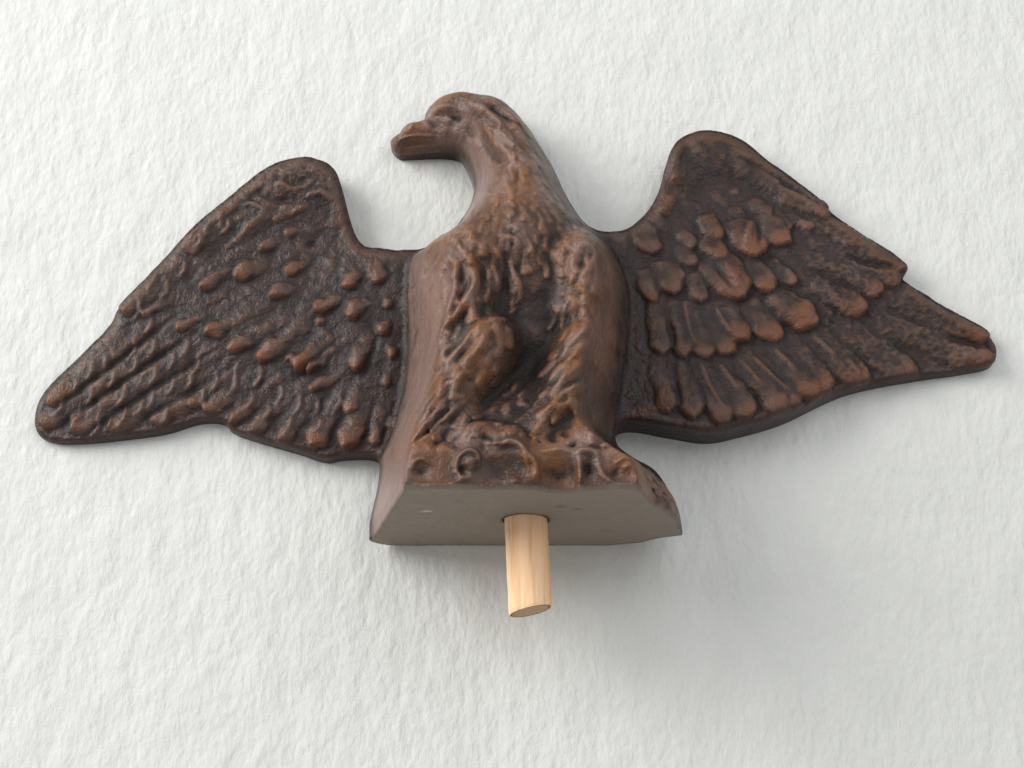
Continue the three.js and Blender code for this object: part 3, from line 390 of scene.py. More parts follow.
def lay_feathers(area, flow, step, sizes, seed):
    """Feathers at the points of a loose triangular grid in the area, each turned by a weighted mean of
    the flow's directions. sizes has the mean length, width and lift."""
    (low_x, high_x), (low_z, high_z) = area
    rows, columns = np.arange(low_z, high_z, step * ROW_SHARE), np.arange(low_x, high_x, step)
    x, z = (values.ravel() for values in np.meshgrid(columns, rows))
    chance = np.array([[scatter(seed + i + 0.2 * j) for j in range(6)] for i in range(len(x))])
    x, z = x + GRID_SHARE * step * chance[:, 0], z + GRID_SHARE * step * chance[:, 1]
    turn = np.radians(blended(flow, FLOW_BLEND, x, z) + TURN_DEGREES * chance[:, 2])
    length, width, lift = (sizes[i] * (1 + SIZE_SHARES[i] * chance[:, 3 + i]) for i in range(3))
    reach_x, reach_z = length / 2 * np.cos(turn), length / 2 * np.sin(turn)
    return np.c_[x - reach_x, z - reach_z, x + reach_x, z + reach_z, width, lift]


WINGS_BOX = ((-118, 114), (20, 104))
BACKGROUND_INSIDE = 1.5
background = lay_feathers(WINGS_BOX, WING_FLOW, step=5.2, sizes=(12, 4.5, 0.3), seed=500)
background_depth, _, _ = depth_inside(outline, background[:, 2], background[:, 3])
background = background[background_depth > BACKGROUND_INSIDE]
left_feathers = np.array(LEFT_FEATHERS) * LEFT_FACTORS
right_feathers = np.array(RIGHT_FEATHERS) * RIGHT_FACTORS
print("feathers", len(left_feathers), "and", len(right_feathers), "and low ones behind", len(background))

# %% [markdown]
# ## Lines cut into the wings
# With a fine tool the carver then drew the shafts, a few folds and, on the long feathers, barbs: each
# is a short curved line. A line is a ridge or a cut with a bell-shaped section that fades out towards
# its ends.

# %% Lines on the wings
WING_LINES = [
    # points, half-width, lift
    ([(-63.6, 83.9), (-70.3, 76.4), (-74, 73.5)], 0.8, 0.5), ([(-54.2, 84.3), (-58.3, 81.9)], 0.8, 0.5),
    ([(-69, 86), (-76, 81), (-82.5, 74.5)], 0.7, 0.35), ([(-37.4, 70), (-37.9, 65)], 0.5, 0.5),
    ([(-80, 79.6), (-82.4, 75.6)], 0.5, 0.6), ([(-77.4, 81), (-78.6, 76.4)], 0.5, 0.6),
    ([(-74.6, 83), (-75, 79)], 0.5, 0.5), ([(-66.4, 88.6), (-61, 86.2), (-55, 86.6)], 1.1, -0.8),
    ([(-70, 84.6), (-67.6, 85.4), (-64.4, 83.4)], 0.7, 0.8),
    ([(-61.6, 91), (-57, 89), (-52.6, 90.6)], 0.8, 0.6),
    ([(-54.4, 87), (-50.4, 88.2), (-48, 86.4)], 0.8, 0.7), ([(-52.5, 75.8), (-52, 74.2)], 1.3, -0.9),
    ([(-64, 90), (-70, 84.5), (-73.5, 82)], 1.2, -0.6),
    ([(53, 100.5), (60, 96.5), (64, 93.5), (75, 85.6)], 0.8, 0.6),
    ([(93.5, 62.6), (98, 59.4), (104, 55.2), (108.5, 52.4)], 0.8, 0.5),
    ([(37.4, 94.5), (38, 98), (39.4, 101.5)], 0.9, 0.9), ([(37.2, 91), (38, 92.5)], 1.1, 0.9),
    ([(36.3, 85), (36.8, 87.5)], 1.1, 0.8), ([(33.6, 82.4), (35.4, 83.6)], 1.2, 0.9),
    ([(58, 97.6), (66, 91.4), (74.4, 84.8)], 0.8, -0.8), ([(79, 71.6), (85, 69.4), (92, 68.6)], 0.7, -0.7),
    ([(41, 84), (44.5, 91), (52, 92.5), (60, 88.5)], 3, -0.8), ([(46.4, 67.5), (50.2, 61.3)], 0.7, -0.7),
    ([(48.6, 68.5), (52.6, 61.5)], 0.7, 0.5), ([(55.8, 80.5), (54.4, 74)], 0.8, 0.6),
    ([(58, 80.5), (57.4, 73.5)], 0.7, -0.6), ([(38.3, 58), (39.2, 51), (40.2, 47)], 0.5, 0.5),
    ([(34.4, 53), (35.6, 47)], 0.8, -0.7), ([(46, 56), (48.6, 49.5)], 0.6, 0.5),
    ([(41.5, 42), (43.2, 36), (46.2, 30)], 0.5, 0.5), ([(46.2, 41.5), (49.4, 35.5)], 0.5, 0.6),
    ([(51.6, 42), (55.4, 36.6)], 0.5, 0.6), ([(54.6, 43.4), (57.8, 39.4), (61.4, 35.4)], 0.6, 0.9),
    ([(59.6, 46), (63.4, 41)], 0.6, 0.5), ([(69.4, 49.6), (74.6, 44.4)], 0.8, 0.6),
    ([(35, 42), (36, 31)], 0.8, -0.6), ([(77.4, 44), (79.6, 40.4)], 0.6, 0.5),
    ([(103, 50.4), (108, 49.6), (113, 48.4)], 1, -1), ([(-84, 56.5), (-97, 45.3), (-113, 31.8)], 0.7, -0.7),
    ([(-79, 51.8), (-92, 42.6), (-110, 28.6)], 0.7, -0.7),
    ([(-74, 47.4), (-90, 36.7), (-102, 28)], 0.6, -0.6), ([(-70, 43), (-84, 33.8), (-92, 29)], 0.6, -0.5),
]
BARBS = [
    (-94.1, 48.3), (-100.9, 43.5), (-104, 42), (-107.5, 38), (-78.6, 43.5), (-84.2, 38.3), (-89, 34.8),
    (-91.3, 32.7), (-95.1, 30.6), (-98.5, 28.9), (-101.4, 28.4), (-106, 31), (-85.1, 30.4), (-73.9, 38.9),
    (-58.2, 35.6), (-53.6, 33.2), (-49.3, 32), (-83.3, 68), (-87.3, 62.6), (-93.6, 57.7), (-73.1, 79.4),
    (-89.4, 47.6), (-93.6, 43.4), (-98.6, 39.6), (-103.6, 35.6), (-84.6, 44.2), (-88.6, 40.6),
    (-95.6, 36.2), (-80, 39.2), (-69.4, 38.4), (-65, 34.2), (-60.8, 31.4), (-55.6, 28), (-48.4, 27.4),
    (-90.4, 65.6), (-79.6, 75.4), (-76.8, 34.6), (-44, 33.4), (-63.4, 40.4), (-110.6, 33.4), (-90.6, 53.6),
    (-81.4, 47.6),
]
BARB_HALF_WIDTH = 0.5
BARB_LIFT = 0.6
BARB_REACH = 2.2
BARB_REACH_SPREAD = 0.5
BARB_SHAPE = [(-0.9, -1), (0.3, -0.2), (0.2, 1)]
END_SHARE = 0.35
END_POWER = 0.7
LINE_REACH = 3


def barb_line(x, z):
    """A barb as a short curve, bulging to the right, three to five millimetres long."""
    reach = BARB_REACH + BARB_REACH_SPREAD * scatter(x + 3 * z)
    return [(x + dx, z + dz * reach) for dx, dz in BARB_SHAPE]


def line_height(lines, x, z):
    """Sum of all lines: lift·exp(-(distance / half-width)²), fading to a third at both ends."""
    total = np.zeros_like(x)
    for points, half_width, lift in lines:
        line = smooth_line(points, LINE_STEPS)
        low, high = line.min(0) - LINE_REACH * half_width, line.max(0) + LINE_REACH * half_width
        near = np.flatnonzero(in_box(x, z, zip(low, high)))
        away, along, _, _ = nearest_on(line, x[near], z[near])
        fading = END_SHARE + (1 - END_SHARE) * np.sin(np.pi * along) ** END_POWER
        total[near] += lift * np.exp(-(away / half_width) ** 2) * fading
    return total


wing_lines = WING_LINES + [(barb_line(x, z), BARB_HALF_WIDTH, BARB_LIFT) for x, z in BARBS]
print("lines on the wings", len(wing_lines))

# %% [markdown]
# ## The body
# Breast, neck, thighs and toes are chains of domes: a centre line with a height and a radius at each
# point, falling away on both sides as a parabola. Joined with soft_max they flow into one another.
# Tufts, folds and the lines of the face are strokes, each raised or cut by under two millimetres.

# %% Masses of the figure
MASSES = [
    # points of x, z, height above the back, radius
    [(-1, 66, 33, 17), (-1, 54, 33, 20), (-1, 44, 31, 20)],
    [(-1, 66, 33, 17), (-1.5, 84, 26.5, 14), (-4, 96, 21.5, 12), (-9, 105, 18, 11), (-15, 108, 16, 9.5)],
    [(-11, 60, 35.5, 12), (-13, 46, 36.5, 9)],
    [(13, 59, 35, 10), (13, 48, 35, 8.5)],
    [(-18, 50, 34, 6), (-19, 30, 35, 5), (-23, 15, 40, 4)],
    [(-9, 38, 38.5, 6.5), (-14, 27, 39, 6), (-20, 14, 40, 4)],
    [(14, 36, 38.5, 7), (9, 26, 38.5, 5.5), (3, 16, 38.5, 4)],
    [(18, 50, 33, 5), (18, 34, 35, 4), (17, 16, 36, 4)],
    [(-13.5, 20, 37.5, 4), (-13.5, 10, 43, 3.6)],
    [(13.8, 20, 37.5, 3.4), (13.6, 10, 42, 3.6)],
    [(27, 9, 33, 5), (30.5, 3, 31, 5)],
]
SMALL_MASSES = [
    [(-21, 11, 43, 3), (-21.5, 6, 44.6, 2.6)],
    [(-11.5, 11.5, 44.5, 3.4), (-11.8, 5.6, 46.2, 2.6)],
    [(-10, 13, 43, 3), (-4, 11.4, 44.8, 3), (0.6, 6.4, 45.6, 2.6), (1.4, 3, 45.4, 2)],
    [(12.8, 11.5, 44, 3.4), (11.6, 6.6, 45.2, 2.4)],
    [(17.5, 10, 42.5, 3.2), (20.6, 5.4, 45.4, 2.6)],
    [(-23, 106, 10.5, 5), (-29, 106, 9, 4.2), (-32, 104.2, 7.8, 2.6)],
]
DOME_FALL = 0.8


def chain_height(chain, x, z):
    """Height of a chain of domes: the line's height less 0.8·distance² / radius, both taken at the
    nearest place along each stretch."""
    best = np.full(np.shape(x), -np.inf)
    for (ax, az, ah, ar), (bx, bz, bh, br) in zip(chain, chain[1:]):
        ex, ez = bx - ax, bz - az
        t = np.clip(((x - ax) * ex + (z - az) * ez) / (ex * ex + ez * ez), 0, 1)
        away2 = (x - ax - t * ex) ** 2 + (z - az - t * ez) ** 2
        best = np.maximum(best, ah + (bh - ah) * t - DOME_FALL * away2 / (ar + (br - ar) * t))
    return best


print("chains", len(MASSES), "large and", len(SMALL_MASSES), "small")

# %% Strokes on the head, breast and legs
STROKES = [
    # points, half-width, lift. The head:
    ([(-23.2, 109.6), (-21, 109.2), (-19, 108.8), (-17, 108.2), (-15, 107.2), (-13.4, 106)], 0.9, 0.8),
    ([(-22, 108), (-20, 107.4), (-18, 107), (-16.2, 106.4)], 0.6, -0.45),
    ([(-19.4, 106.1), (-17.8, 105.8)], 0.9, 0.4),
    ([(-21.6, 106.8), (-20.8, 105.4), (-19, 104.9)], 0.6, -0.3),
    ([(-20, 104), (-17.4, 104), (-14.8, 104.4)], 1.5, 0.4),
    ([(-24.2, 109.4), (-23.4, 107.4), (-22.2, 105.6), (-20.8, 104)], 0.8, -1),
    ([(-28.6, 106), (-27.4, 105.8)], 0.9, 0.6), ([(-32.6, 106.4), (-32.4, 104.6)], 0.8, -0.6),
    ([(-26.4, 109), (-26, 106)], 1, -0.4),
    ([(-32.4, 102.8), (-30, 103.3), (-28, 103.5), (-26, 103.4), (-23, 103.2), (-20, 102.7)], 0.45, 1.2),
    ([(-32, 102), (-30, 102.5), (-28, 102.7), (-25, 102.8), (-22, 102.6), (-20.4, 102.4)], 0.4, -1.5),
    ([(-29, 101.8), (-26, 101.95), (-24, 102), (-21, 102.1), (-18, 102.2)], 0.4, 0.7),
    # The neck
    ([(-17.6, 102.9), (-14.6, 102), (-12.8, 99.8), (-11.3, 97), (-10.2, 94), (-9.5, 91),
      (-9.1, 87)], 0.9, 1.2), ([(-18, 102.2), (-15.6, 100.8), (-13.8, 98), (-12, 94), (-11, 90)], 0.5, 0.5),
    ([(-12, 103), (-10.8, 100.6), (-9.6, 98), (-8.6, 95.5), (-7.4, 92.8)], 0.9, -1.1),
    ([(-10.2, 100.6), (-9, 97.8), (-7.6, 95.4), (-5.8, 93), (-4.4, 90.6), (-3.6, 88.4)], 0.8, 1.2),
    ([(-8.2, 93), (-6.6, 91), (-5.3, 88), (-5.5, 85)], 1.1, -1.3),
    ([(-9.2, 93.4), (-8.3, 90), (-7.4, 86.6), (-6.8, 83)], 0.6, 1),
    ([(-13.4, 107.8), (-10.4, 106.2), (-7.6, 103.2), (-5.6, 100.4)], 1, 0.9),
    ([(-12.4, 105), (-10.2, 103.4), (-8.6, 101.2), (-6.8, 99.2)], 0.8, -0.7),
    ([(-11, 109.5), (-6.5, 106.9), (-2.8, 103.3), (0.2, 98.5)], 1.2, 0.8),
    ([(-8.6, 107), (-5, 103.6), (-2.6, 100)], 0.9, -0.7), ([(-2.6, 100), (-0.6, 96), (0.6, 92)], 0.9, 0.7),
    ([(-3.6, 88.4), (-2.6, 84.7), (-1.6, 80.7)], 0.9, -0.8),
    ([(-5.4, 84), (-4.4, 80), (-3.6, 76), (-2.6, 73)], 0.9, 0.8),
    ([(-12.6, 84), (-13.4, 78), (-12.4, 72)], 0.8, 0.5), ([(-3.2, 66.5), (-1.8, 64)], 0.8, 0.6),
    ([(3.4, 67), (5, 63.8)], 0.8, 0.6), ([(1, 60.2), (1.9, 58.2)], 0.7, 0.6),
    # The breast, left half
    ([(-17.2, 62.8), (-15.8, 61.4), (-14.3, 58.2)], 0.8, 1.3), ([(-13.8, 64.8), (-11.6, 62.4)], 0.9, 1.1),
    ([(-13.5, 61.5), (-11, 60.3), (-8, 57.8)], 0.9, 0.9),
    ([(-19.2, 57.2), (-20.2, 54), (-21.1, 50.3)], 0.7, 1.2), ([(-17.5, 58), (-15.2, 55.4)], 0.8, 1.1),
    ([(-15.9, 55), (-15.6, 51), (-16.2, 46.7), (-17.8, 43)], 0.8, 1.5),
    ([(-19, 54.5), (-18.5, 50.2), (-19.4, 46)], 1.6, 0.9), ([(-12.7, 58.2), (-13.5, 54)], 1.2, 1),
    ([(-12, 55), (-11.3, 50.2), (-12.4, 46.3), (-11.8, 42.6)], 1.2, 1.8),
    ([(-14, 57), (-14.2, 50), (-14.6, 46)], 0.8, -0.5),
    ([(-14, 46.4), (-15.5, 42.8), (-18, 40.6), (-20.4, 38.2)], 0.8, 1), ([(-6.9, 60), (-5.8, 57)], 0.8, 1),
    ([(-6.9, 54.6), (-6.1, 50.6)], 0.8, 1.2), ([(-8.4, 54.4), (-7.8, 51)], 0.7, 0.9),
    ([(-9.6, 54.6), (-9.4, 49.4)], 0.7, -0.9), ([(-5.2, 62.8), (-2.4, 62.4), (-1.2, 60)], 0.8, 1.1),
    ([(-3.3, 57), (-2.5, 54), (-1.3, 51), (-1.6, 47.8)], 0.8, 1.1), ([(-4.6, 55), (-4.2, 50)], 0.8, -0.8),
    ([(-21, 47.4), (-19.6, 45.8), (-21, 43.4)], 0.8, 0.9), ([(-24, 55), (-25, 51.5)], 0.8, 0.7),
    ([(-26.4, 49), (-27.4, 46)], 0.8, 0.7), ([(-24.6, 46), (-25.2, 41)], 1, 0.6),
    ([(-22.4, 57.8), (-24.2, 59.4), (-25, 62)], 0.8, 0.6),
    # The breast, right half
    ([(9, 62.4), (8.6, 59), (8.3, 55.6)], 1, 0.9), ([(10.4, 58.4), (10.9, 55)], 0.8, 0.9),
    ([(12.4, 60.4), (15.4, 60.2), (15.9, 58), (14.5, 54.8), (12.8, 52.7)], 0.9, 1.4),
    ([(12.6, 58.2), (12.4, 55)], 0.9, -0.9),
    ([(16.2, 62), (19, 60.7), (20.5, 56.8), (20.4, 53.5)], 1.2, 0.9),
    ([(17.8, 58.6), (17.6, 54.6)], 1.1, -0.7), ([(12.3, 50), (13.5, 48.1)], 0.8, 1),
    ([(15.6, 50.4), (15, 48)], 0.8, 0.9), ([(13, 44.4), (14, 41.8)], 0.7, 0.7),
    # The left leg
    ([(-12, 38.4), (-13.3, 35.3), (-15, 33.6), (-17, 31.2)], 0.8, 1.2),
    ([(-11.3, 37.6), (-13.6, 33.8), (-15, 30.6)], 0.6, -0.7),
    ([(-8.2, 38), (-10.1, 33.5), (-11.6, 31.6), (-13.3, 30.4)], 0.9, 1.3),
    ([(-9.9, 29.6), (-12.8, 26.2)], 0.7, -1), ([(-13.4, 28), (-15, 25), (-15.8, 22.8)], 0.9, 1.1),
    ([(-17.6, 27.2), (-18.4, 25.4), (-18.9, 22.8)], 0.9, 1.3), ([(-18.1, 33.6), (-17.3, 30.4)], 0.9, 1),
    ([(-16.6, 36), (-19, 32.8)], 0.8, 0.9), ([(-19, 22), (-20.8, 19.1), (-22.2, 17)], 0.8, 1.1),
    ([(-17, 20.2), (-20, 17.8)], 0.7, 1.1), ([(-15.4, 19.2), (-17.2, 16.8)], 0.7, 1),
    ([(-20.6, 16), (-22.6, 13.5), (-24.2, 11.8)], 0.7, 1.1),
    ([(-16.4, 20), (-19, 16.6), (-21.4, 13.4), (-24, 10.8)], 0.6, -1),
    ([(-12.4, 18.6), (-13.8, 15)], 1, 0.9), ([(-9.8, 27.8), (-9.4, 24.8)], 0.8, 0.7),
    ([(-7, 40.6), (-5.6, 37), (-5.4, 33)], 1, 0.8), ([(-10, 40.4), (-10.6, 36.6)], 1, 0.9),
    # The right leg
    ([(9.9, 35), (12.4, 38), (15.2, 39.2), (17.6, 38.6), (18.5, 36.4)], 1.1, 0.9),
    ([(13.8, 37.2), (9.7, 34.2), (7.8, 31.2)], 0.6, -1),
    ([(14.3, 34.8), (12.5, 30.9), (10.7, 28.7), (7.6, 26.6)], 0.9, 1.4),
    ([(16.6, 30), (14.5, 27.9), (12.4, 25.7), (8.8, 23.7)], 0.9, 1.3),
    ([(15, 26.4), (12.4, 22.4), (9, 21), (6.2, 19.5), (3.2, 16.6), (1.5, 14.2)], 0.9, 1.2),
    ([(9.4, 30), (7.4, 26.6)], 0.8, 0.9), ([(12.8, 29), (10.8, 26.6), (7, 24)], 0.6, -0.9),
    ([(7.6, 22.6), (4.4, 19.4), (2.4, 17.4)], 0.7, 0.8),
    ([(13.1, 19.4), (13.8, 15.8), (14.1, 13), (13.8, 10.3)], 1.4, 1.2),
    ([(11.4, 16), (11.8, 12.6)], 0.8, -0.7),
    # The toes, their claws and the rock's lip
    ([(-23.8, 4.6), (-22.9, 5.9), (-21.3, 6.2), (-20.2, 5.3)], 0.5, 0.9),
    ([(-22.2, 4.6), (-21.8, 2.8)], 1.6, -0.8),
    ([(-26, 1.6), (-23.4, 0.8), (-21, 0.5), (-16.6, 0.5), (-13.6, 1.5), (-11.7, 2.7)], 0.7, 0.9),
    ([(-14.6, 4.9), (-14.1, 6.6), (-12.1, 8), (-10.3, 7.3), (-9.6, 5.6)], 0.5, 1),
    ([(-13.2, 5), (-13.4, 3.2)], 0.9, -0.9), ([(-14.6, 4.9), (-14.4, 3.3), (-13, 1.8)], 0.6, 0.8),
    ([(-11.8, 6.2), (-11.2, 5)], 1.3, 0.9),
    ([(-9.9, 10.8), (-6.3, 9.8), (-3.6, 10.1), (-1.3, 9.2), (0, 7), (1.6, 5.4), (2.1, 3.7),
      (1.9, 2.1)], 0.8, 1.5), ([(-8.6, 6), (-6, 4.4), (-2.6, 4.8), (-0.4, 4.4)], 1.9, -1.1),
    ([(-1.6, 7.4), (-0.2, 5.6), (0.6, 3.6)], 0.4, 0.7), ([(-2.8, 1.6), (-1.4, 1)], 0.7, 0.7),
    ([(3.6, 5), (6, 3.6), (8.6, 4)], 2, -0.6), ([(3.4, 8.6), (8.8, 8.4)], 0.6, 0.6),
    ([(10.1, 7.3), (11.7, 8.1), (14, 7.7), (14.9, 6.8)], 0.7, 1.1), ([(12.8, 5.8), (13, 3)], 1.2, -1),
    ([(10.8, 6.4), (11, 3.3), (10.9, 0.2)], 0.7, 1.9),
    ([(14.4, 6.1), (15.8, 2.6), (17.6, 1.1), (20, 0.6), (22.6, 0.8)], 0.8, 1.2),
    ([(18.4, 5.4), (20.3, 6.3), (22.1, 5.6)], 0.5, 0.8), ([(20.7, 5), (21.2, 4)], 1.4, 1),
    ([(18, 4.2), (18.8, 2.6)], 1.3, -0.8), ([(22.2, 2.4), (23.6, 1.6)], 1.1, 0.8),
    ([(25.4, 9), (26.4, 5.4), (28, 2.6)], 0.9, -1.6), ([(28.4, 8.6), (30, 5.4)], 0.8, -1.1),
    ([(27, 8), (28.4, 5), (29.6, 2)], 0.8, 0.9), ([(31, 9.4), (32.2, 6)], 0.9, 0.9),
    ([(24.2, 10.4), (25, 7.6)], 0.8, 0.8),
]
print("strokes", len(STROKES))

# %% [markdown]
# Between those lines the carver filled breast, neck and legs with small tufts, each following the flow
# of the plumage. They are short feathers on a loose grid, turned by a weighted mean of directions
# that were read off in a few places, as the plate's heights are.

# %% Tufts
BODY_FLOW = [
    # x, z, direction in degrees from +x
    (-12, 98, -62), (-4, 92, -60), (0, 84, -65), (-8, 80, -95), (5, 75, -60), (-16, 68, -112),
    (-5, 62, -95), (10, 62, -78), (-20, 52, -95), (-12, 48, -100), (0, 52, -90), (16, 54, -80),
    (-8, 40, -115), (-14, 33, -125), (-20, 22, -130), (-24, 14, -130), (14, 34, -125), (8, 24, -135),
    (15, 14, -90), (18, 45, -90),
]
NECK_BOX = ((-30, 26), (60, 110))
BODY_BOX = ((-30, 26), (13, 62))
SMOOTH_HOLLOW = ((-1.5, 6), (30, 58))
FACE_BOX = ((-math.inf, -9), (98, math.inf))
TUFT_INSIDE = 1.2
TUFT_INSIDE_LEGS = 3
neck_tufts = lay_feathers(NECK_BOX, BODY_FLOW, step=2.9, sizes=(6.5, 2.1, 0.5), seed=40)
body_tufts = lay_feathers(BODY_BOX, BODY_FLOW, step=3.1, sizes=(6, 2.3, 0.75), seed=900)
tufts = np.vstack([neck_tufts, body_tufts])
tuft_x, tuft_z = tufts[:, 0], tufts[:, 1]
tuft_inside, _, _ = depth_inside(figure, tuft_x, tuft_z)
kept_smooth = in_box(tuft_x, tuft_z, SMOOTH_HOLLOW) | in_box(tuft_x, tuft_z, FACE_BOX)
tufts = tufts[(tuft_inside > TUFT_INSIDE + TUFT_INSIDE_LEGS * ease(40, 30, tuft_z)) & ~kept_smooth]
print("tufts", len(tufts))

# %% [markdown]
# ## The whole relief
# A mould needs draft: no wall of the body may be steeper than about three to one, or the cast would
# not come out. So the body's height is capped by its distance from its own sides, which gives the
# smooth plain flanks beside the breast. The rim is rounded, more where it looks up.

# %% Relief height
# A pair of numbers is where an ease starts and ends. Heights of the masses and the ledge:
BELLY_TOP_Z = 60.0
BETWEEN_LEGS, BETWEEN_FEET, HOLLOW_Z = 26.0, 39.0, (42, 10)
WELL_BELOW = -20.0
MASS_BLEND, SMALL_BLEND = 4.0, 1.2
LEDGE_HEIGHT, LEDGE_TOP_Z, LEDGE_TOP_SPAN = 45.2, 11.5, 4.0
LEDGE_STEP, LEDGE_BLEND, LEDGE_WAVE = 1, 1.5, 0.5
LEDGE_DIP, LEDGE_DIP_X, LEDGE_DIP_REACH = 2.4, 7.5, 4.5
LEDGE_DIP_Z = (9, 3)
# The draft of the mould on the flanks, the knob of rock beside the right foot, and the cheek
FLANK_FOOT, DRAFT_RISE = 5.0, 3.1
LOW_Z, LOW_FOOT_LEFT = (20, 8), 2
LOW_RISE_LEFT, LOW_RISE_RIGHT = 0.9, 0.3
HEAD_Z, HEAD_FOOT = (96, 106), 2.2
KNOB_HEIGHT, KNOB_X, KNOB_Z = 11, 33, 3
KNOB_SPREAD_X, KNOB_SPREAD_Z = 20, 60
JAW_Z = 101.4
CHEEK_HEIGHT, CHEEK_RISE, CHEEK_BLEND = 9.0, 0.6, 2
BROW_Z, BROW_SPAN, BROW_STEP = 110.5, 5, 1.2
FACE_X, FACE_Z = (-8, -17), (98, 102)
# The rounding between masses and draft
EDGE_ROUNDING = 2.5
LEG_ROUNDING, LEG_Z = 2.5, (8, 22)
SHOULDER_ROUNDING = 9
SHOULDER_LOW_Z, SHOULDER_HIGH_Z = (34, 66), (104, 92)
CAP_SHOWS = (-2, 4)
# Carving, and the rough rock and soft waves that it leaves
DEEPEST_GROOVE = 0.8
CARVED_FROM, CARVED_SHARPER = 2, 1.4
FLANK_CARVED_LESS = 0.3
ROCK_ROUGH, ROCK_SIZE = 0.8, 3.6
ROCK_X, ROCK_Z = (24, 29), (17, 12)
FLANK_WAVE, FLANK_STREAK = 0.2, 0.03
# The wings beside the figure, and the cast's rim and skin
PLATE_SINK = 0.8
BEYOND_FIGURE, WING_BLEND = 3, 6
PLAIN_FROM = (0, 1.5)
TUFT_TIPS_SHARE = 0.7
RIM_RADIUS_DOWN, RIM_RADIUS_UP = 0.9, 2.8
RIM_TURNS_UP = (-0.2, 0.7)
# Lift, size and seed of each wave
SKIN_WAVES = [(0.16, 13, 6), (0.05, 5, 7)]
SKIN_FINE, SKIN_COARSE, SKIN_SIZE = 0.02, 0.09, 2.6
COARSE_RIGHT_X, COARSE_LEFT_Z, COARSE_LEFT_X = (60, 75), (84, 92), -44
TALLEST = 46.95


def figure_height(x, z, inside):
    """Body, legs and base, capped by the draft of the mould, and how far the cap is in force. On the
    face a second cap that climbs slowly up to the brow leaves cheek and beak facing forwards."""
    between = BETWEEN_LEGS + (BETWEEN_FEET - BETWEEN_LEGS) * ease(*HOLLOW_Z, z)
    height = np.where(z < BELLY_TOP_Z, between, WELL_BELOW)
    for chain in MASSES:
        height = soft_max(height, chain_height(chain, x, z), MASS_BLEND)
    for chain in SMALL_MASSES:
        height = soft_max(height, chain_height(chain, x, z), SMALL_BLEND)
    uneven = z + LEDGE_WAVE * wander(x, z, 6, 4)
    fall = ease(LEDGE_TOP_Z - LEDGE_TOP_SPAN, LEDGE_TOP_Z + LEDGE_TOP_SPAN, uneven)
    dip = LEDGE_DIP * np.exp(-((x - LEDGE_DIP_X) / LEDGE_DIP_REACH) ** 2) * ease(*LEDGE_DIP_Z, z)
    ledge = LEDGE_HEIGHT - (LEDGE_HEIGHT - between + LEDGE_STEP) * fall - dip
    height = np.where(z < BELLY_TOP_Z, soft_max(height, ledge, LEDGE_BLEND), height)
    knob = KNOB_HEIGHT * np.exp(-(x - KNOB_X) ** 2 / KNOB_SPREAD_X - (z - KNOB_Z) ** 2 / KNOB_SPREAD_Z)
    low, left, head = ease(*LOW_Z, z), x < 0, ease(*HEAD_Z, z)
    foot = FLANK_FOOT - LOW_FOOT_LEFT * low * left - HEAD_FOOT * head
    rise = DRAFT_RISE + low * np.where(left, LOW_RISE_LEFT, LOW_RISE_RIGHT)
    draft = foot + knob + rise * inside
    brow = BROW_STEP * ease(BROW_Z - BROW_SPAN, BROW_Z, z)
    cheek = CHEEK_HEIGHT + CHEEK_RISE * (z - JAW_Z) + brow
    on_face = ease(*FACE_X, x) * ease(*FACE_Z, z)
    draft = draft + (soft_min(draft, cheek, CHEEK_BLEND) - draft) * on_face
    shoulder = ease(*SHOULDER_LOW_Z, z) * ease(*SHOULDER_HIGH_Z, z)
    rounding = EDGE_ROUNDING + LEG_ROUNDING * ease(*LEG_Z, z) + SHOULDER_ROUNDING * shoulder
    capped = ease(*CAP_SHOWS, height - draft)
    tuft, tips = feather_height(tufts, x, z, **TUFT_CUT)
    lines = line_height(STROKES, x, z)
    fade = ease(0, CARVED_FROM - CARVED_SHARPER * np.maximum(head, low), inside)
    strokes = np.where(lines < 0, DEEPEST_GROOVE * lines, lines)
    carved = (tuft + strokes) * fade * (1 - FLANK_CARVED_LESS * capped * (1 - head))
    on_rock = ease(*ROCK_X, x) * ease(*ROCK_Z, z) * ease(0, 1, inside)
    streaks = FLANK_WAVE * wander(x, 0.4 * z, 5, 12) + FLANK_STREAK * wander(x, 0.5 * z, 2, 13)
    rough = ROCK_ROUGH * wander(x, z, ROCK_SIZE, 11) * on_rock + streaks * capped * ease(0, 2, inside)
    return soft_min(height, draft, rounding) + carved + rough, capped, tips


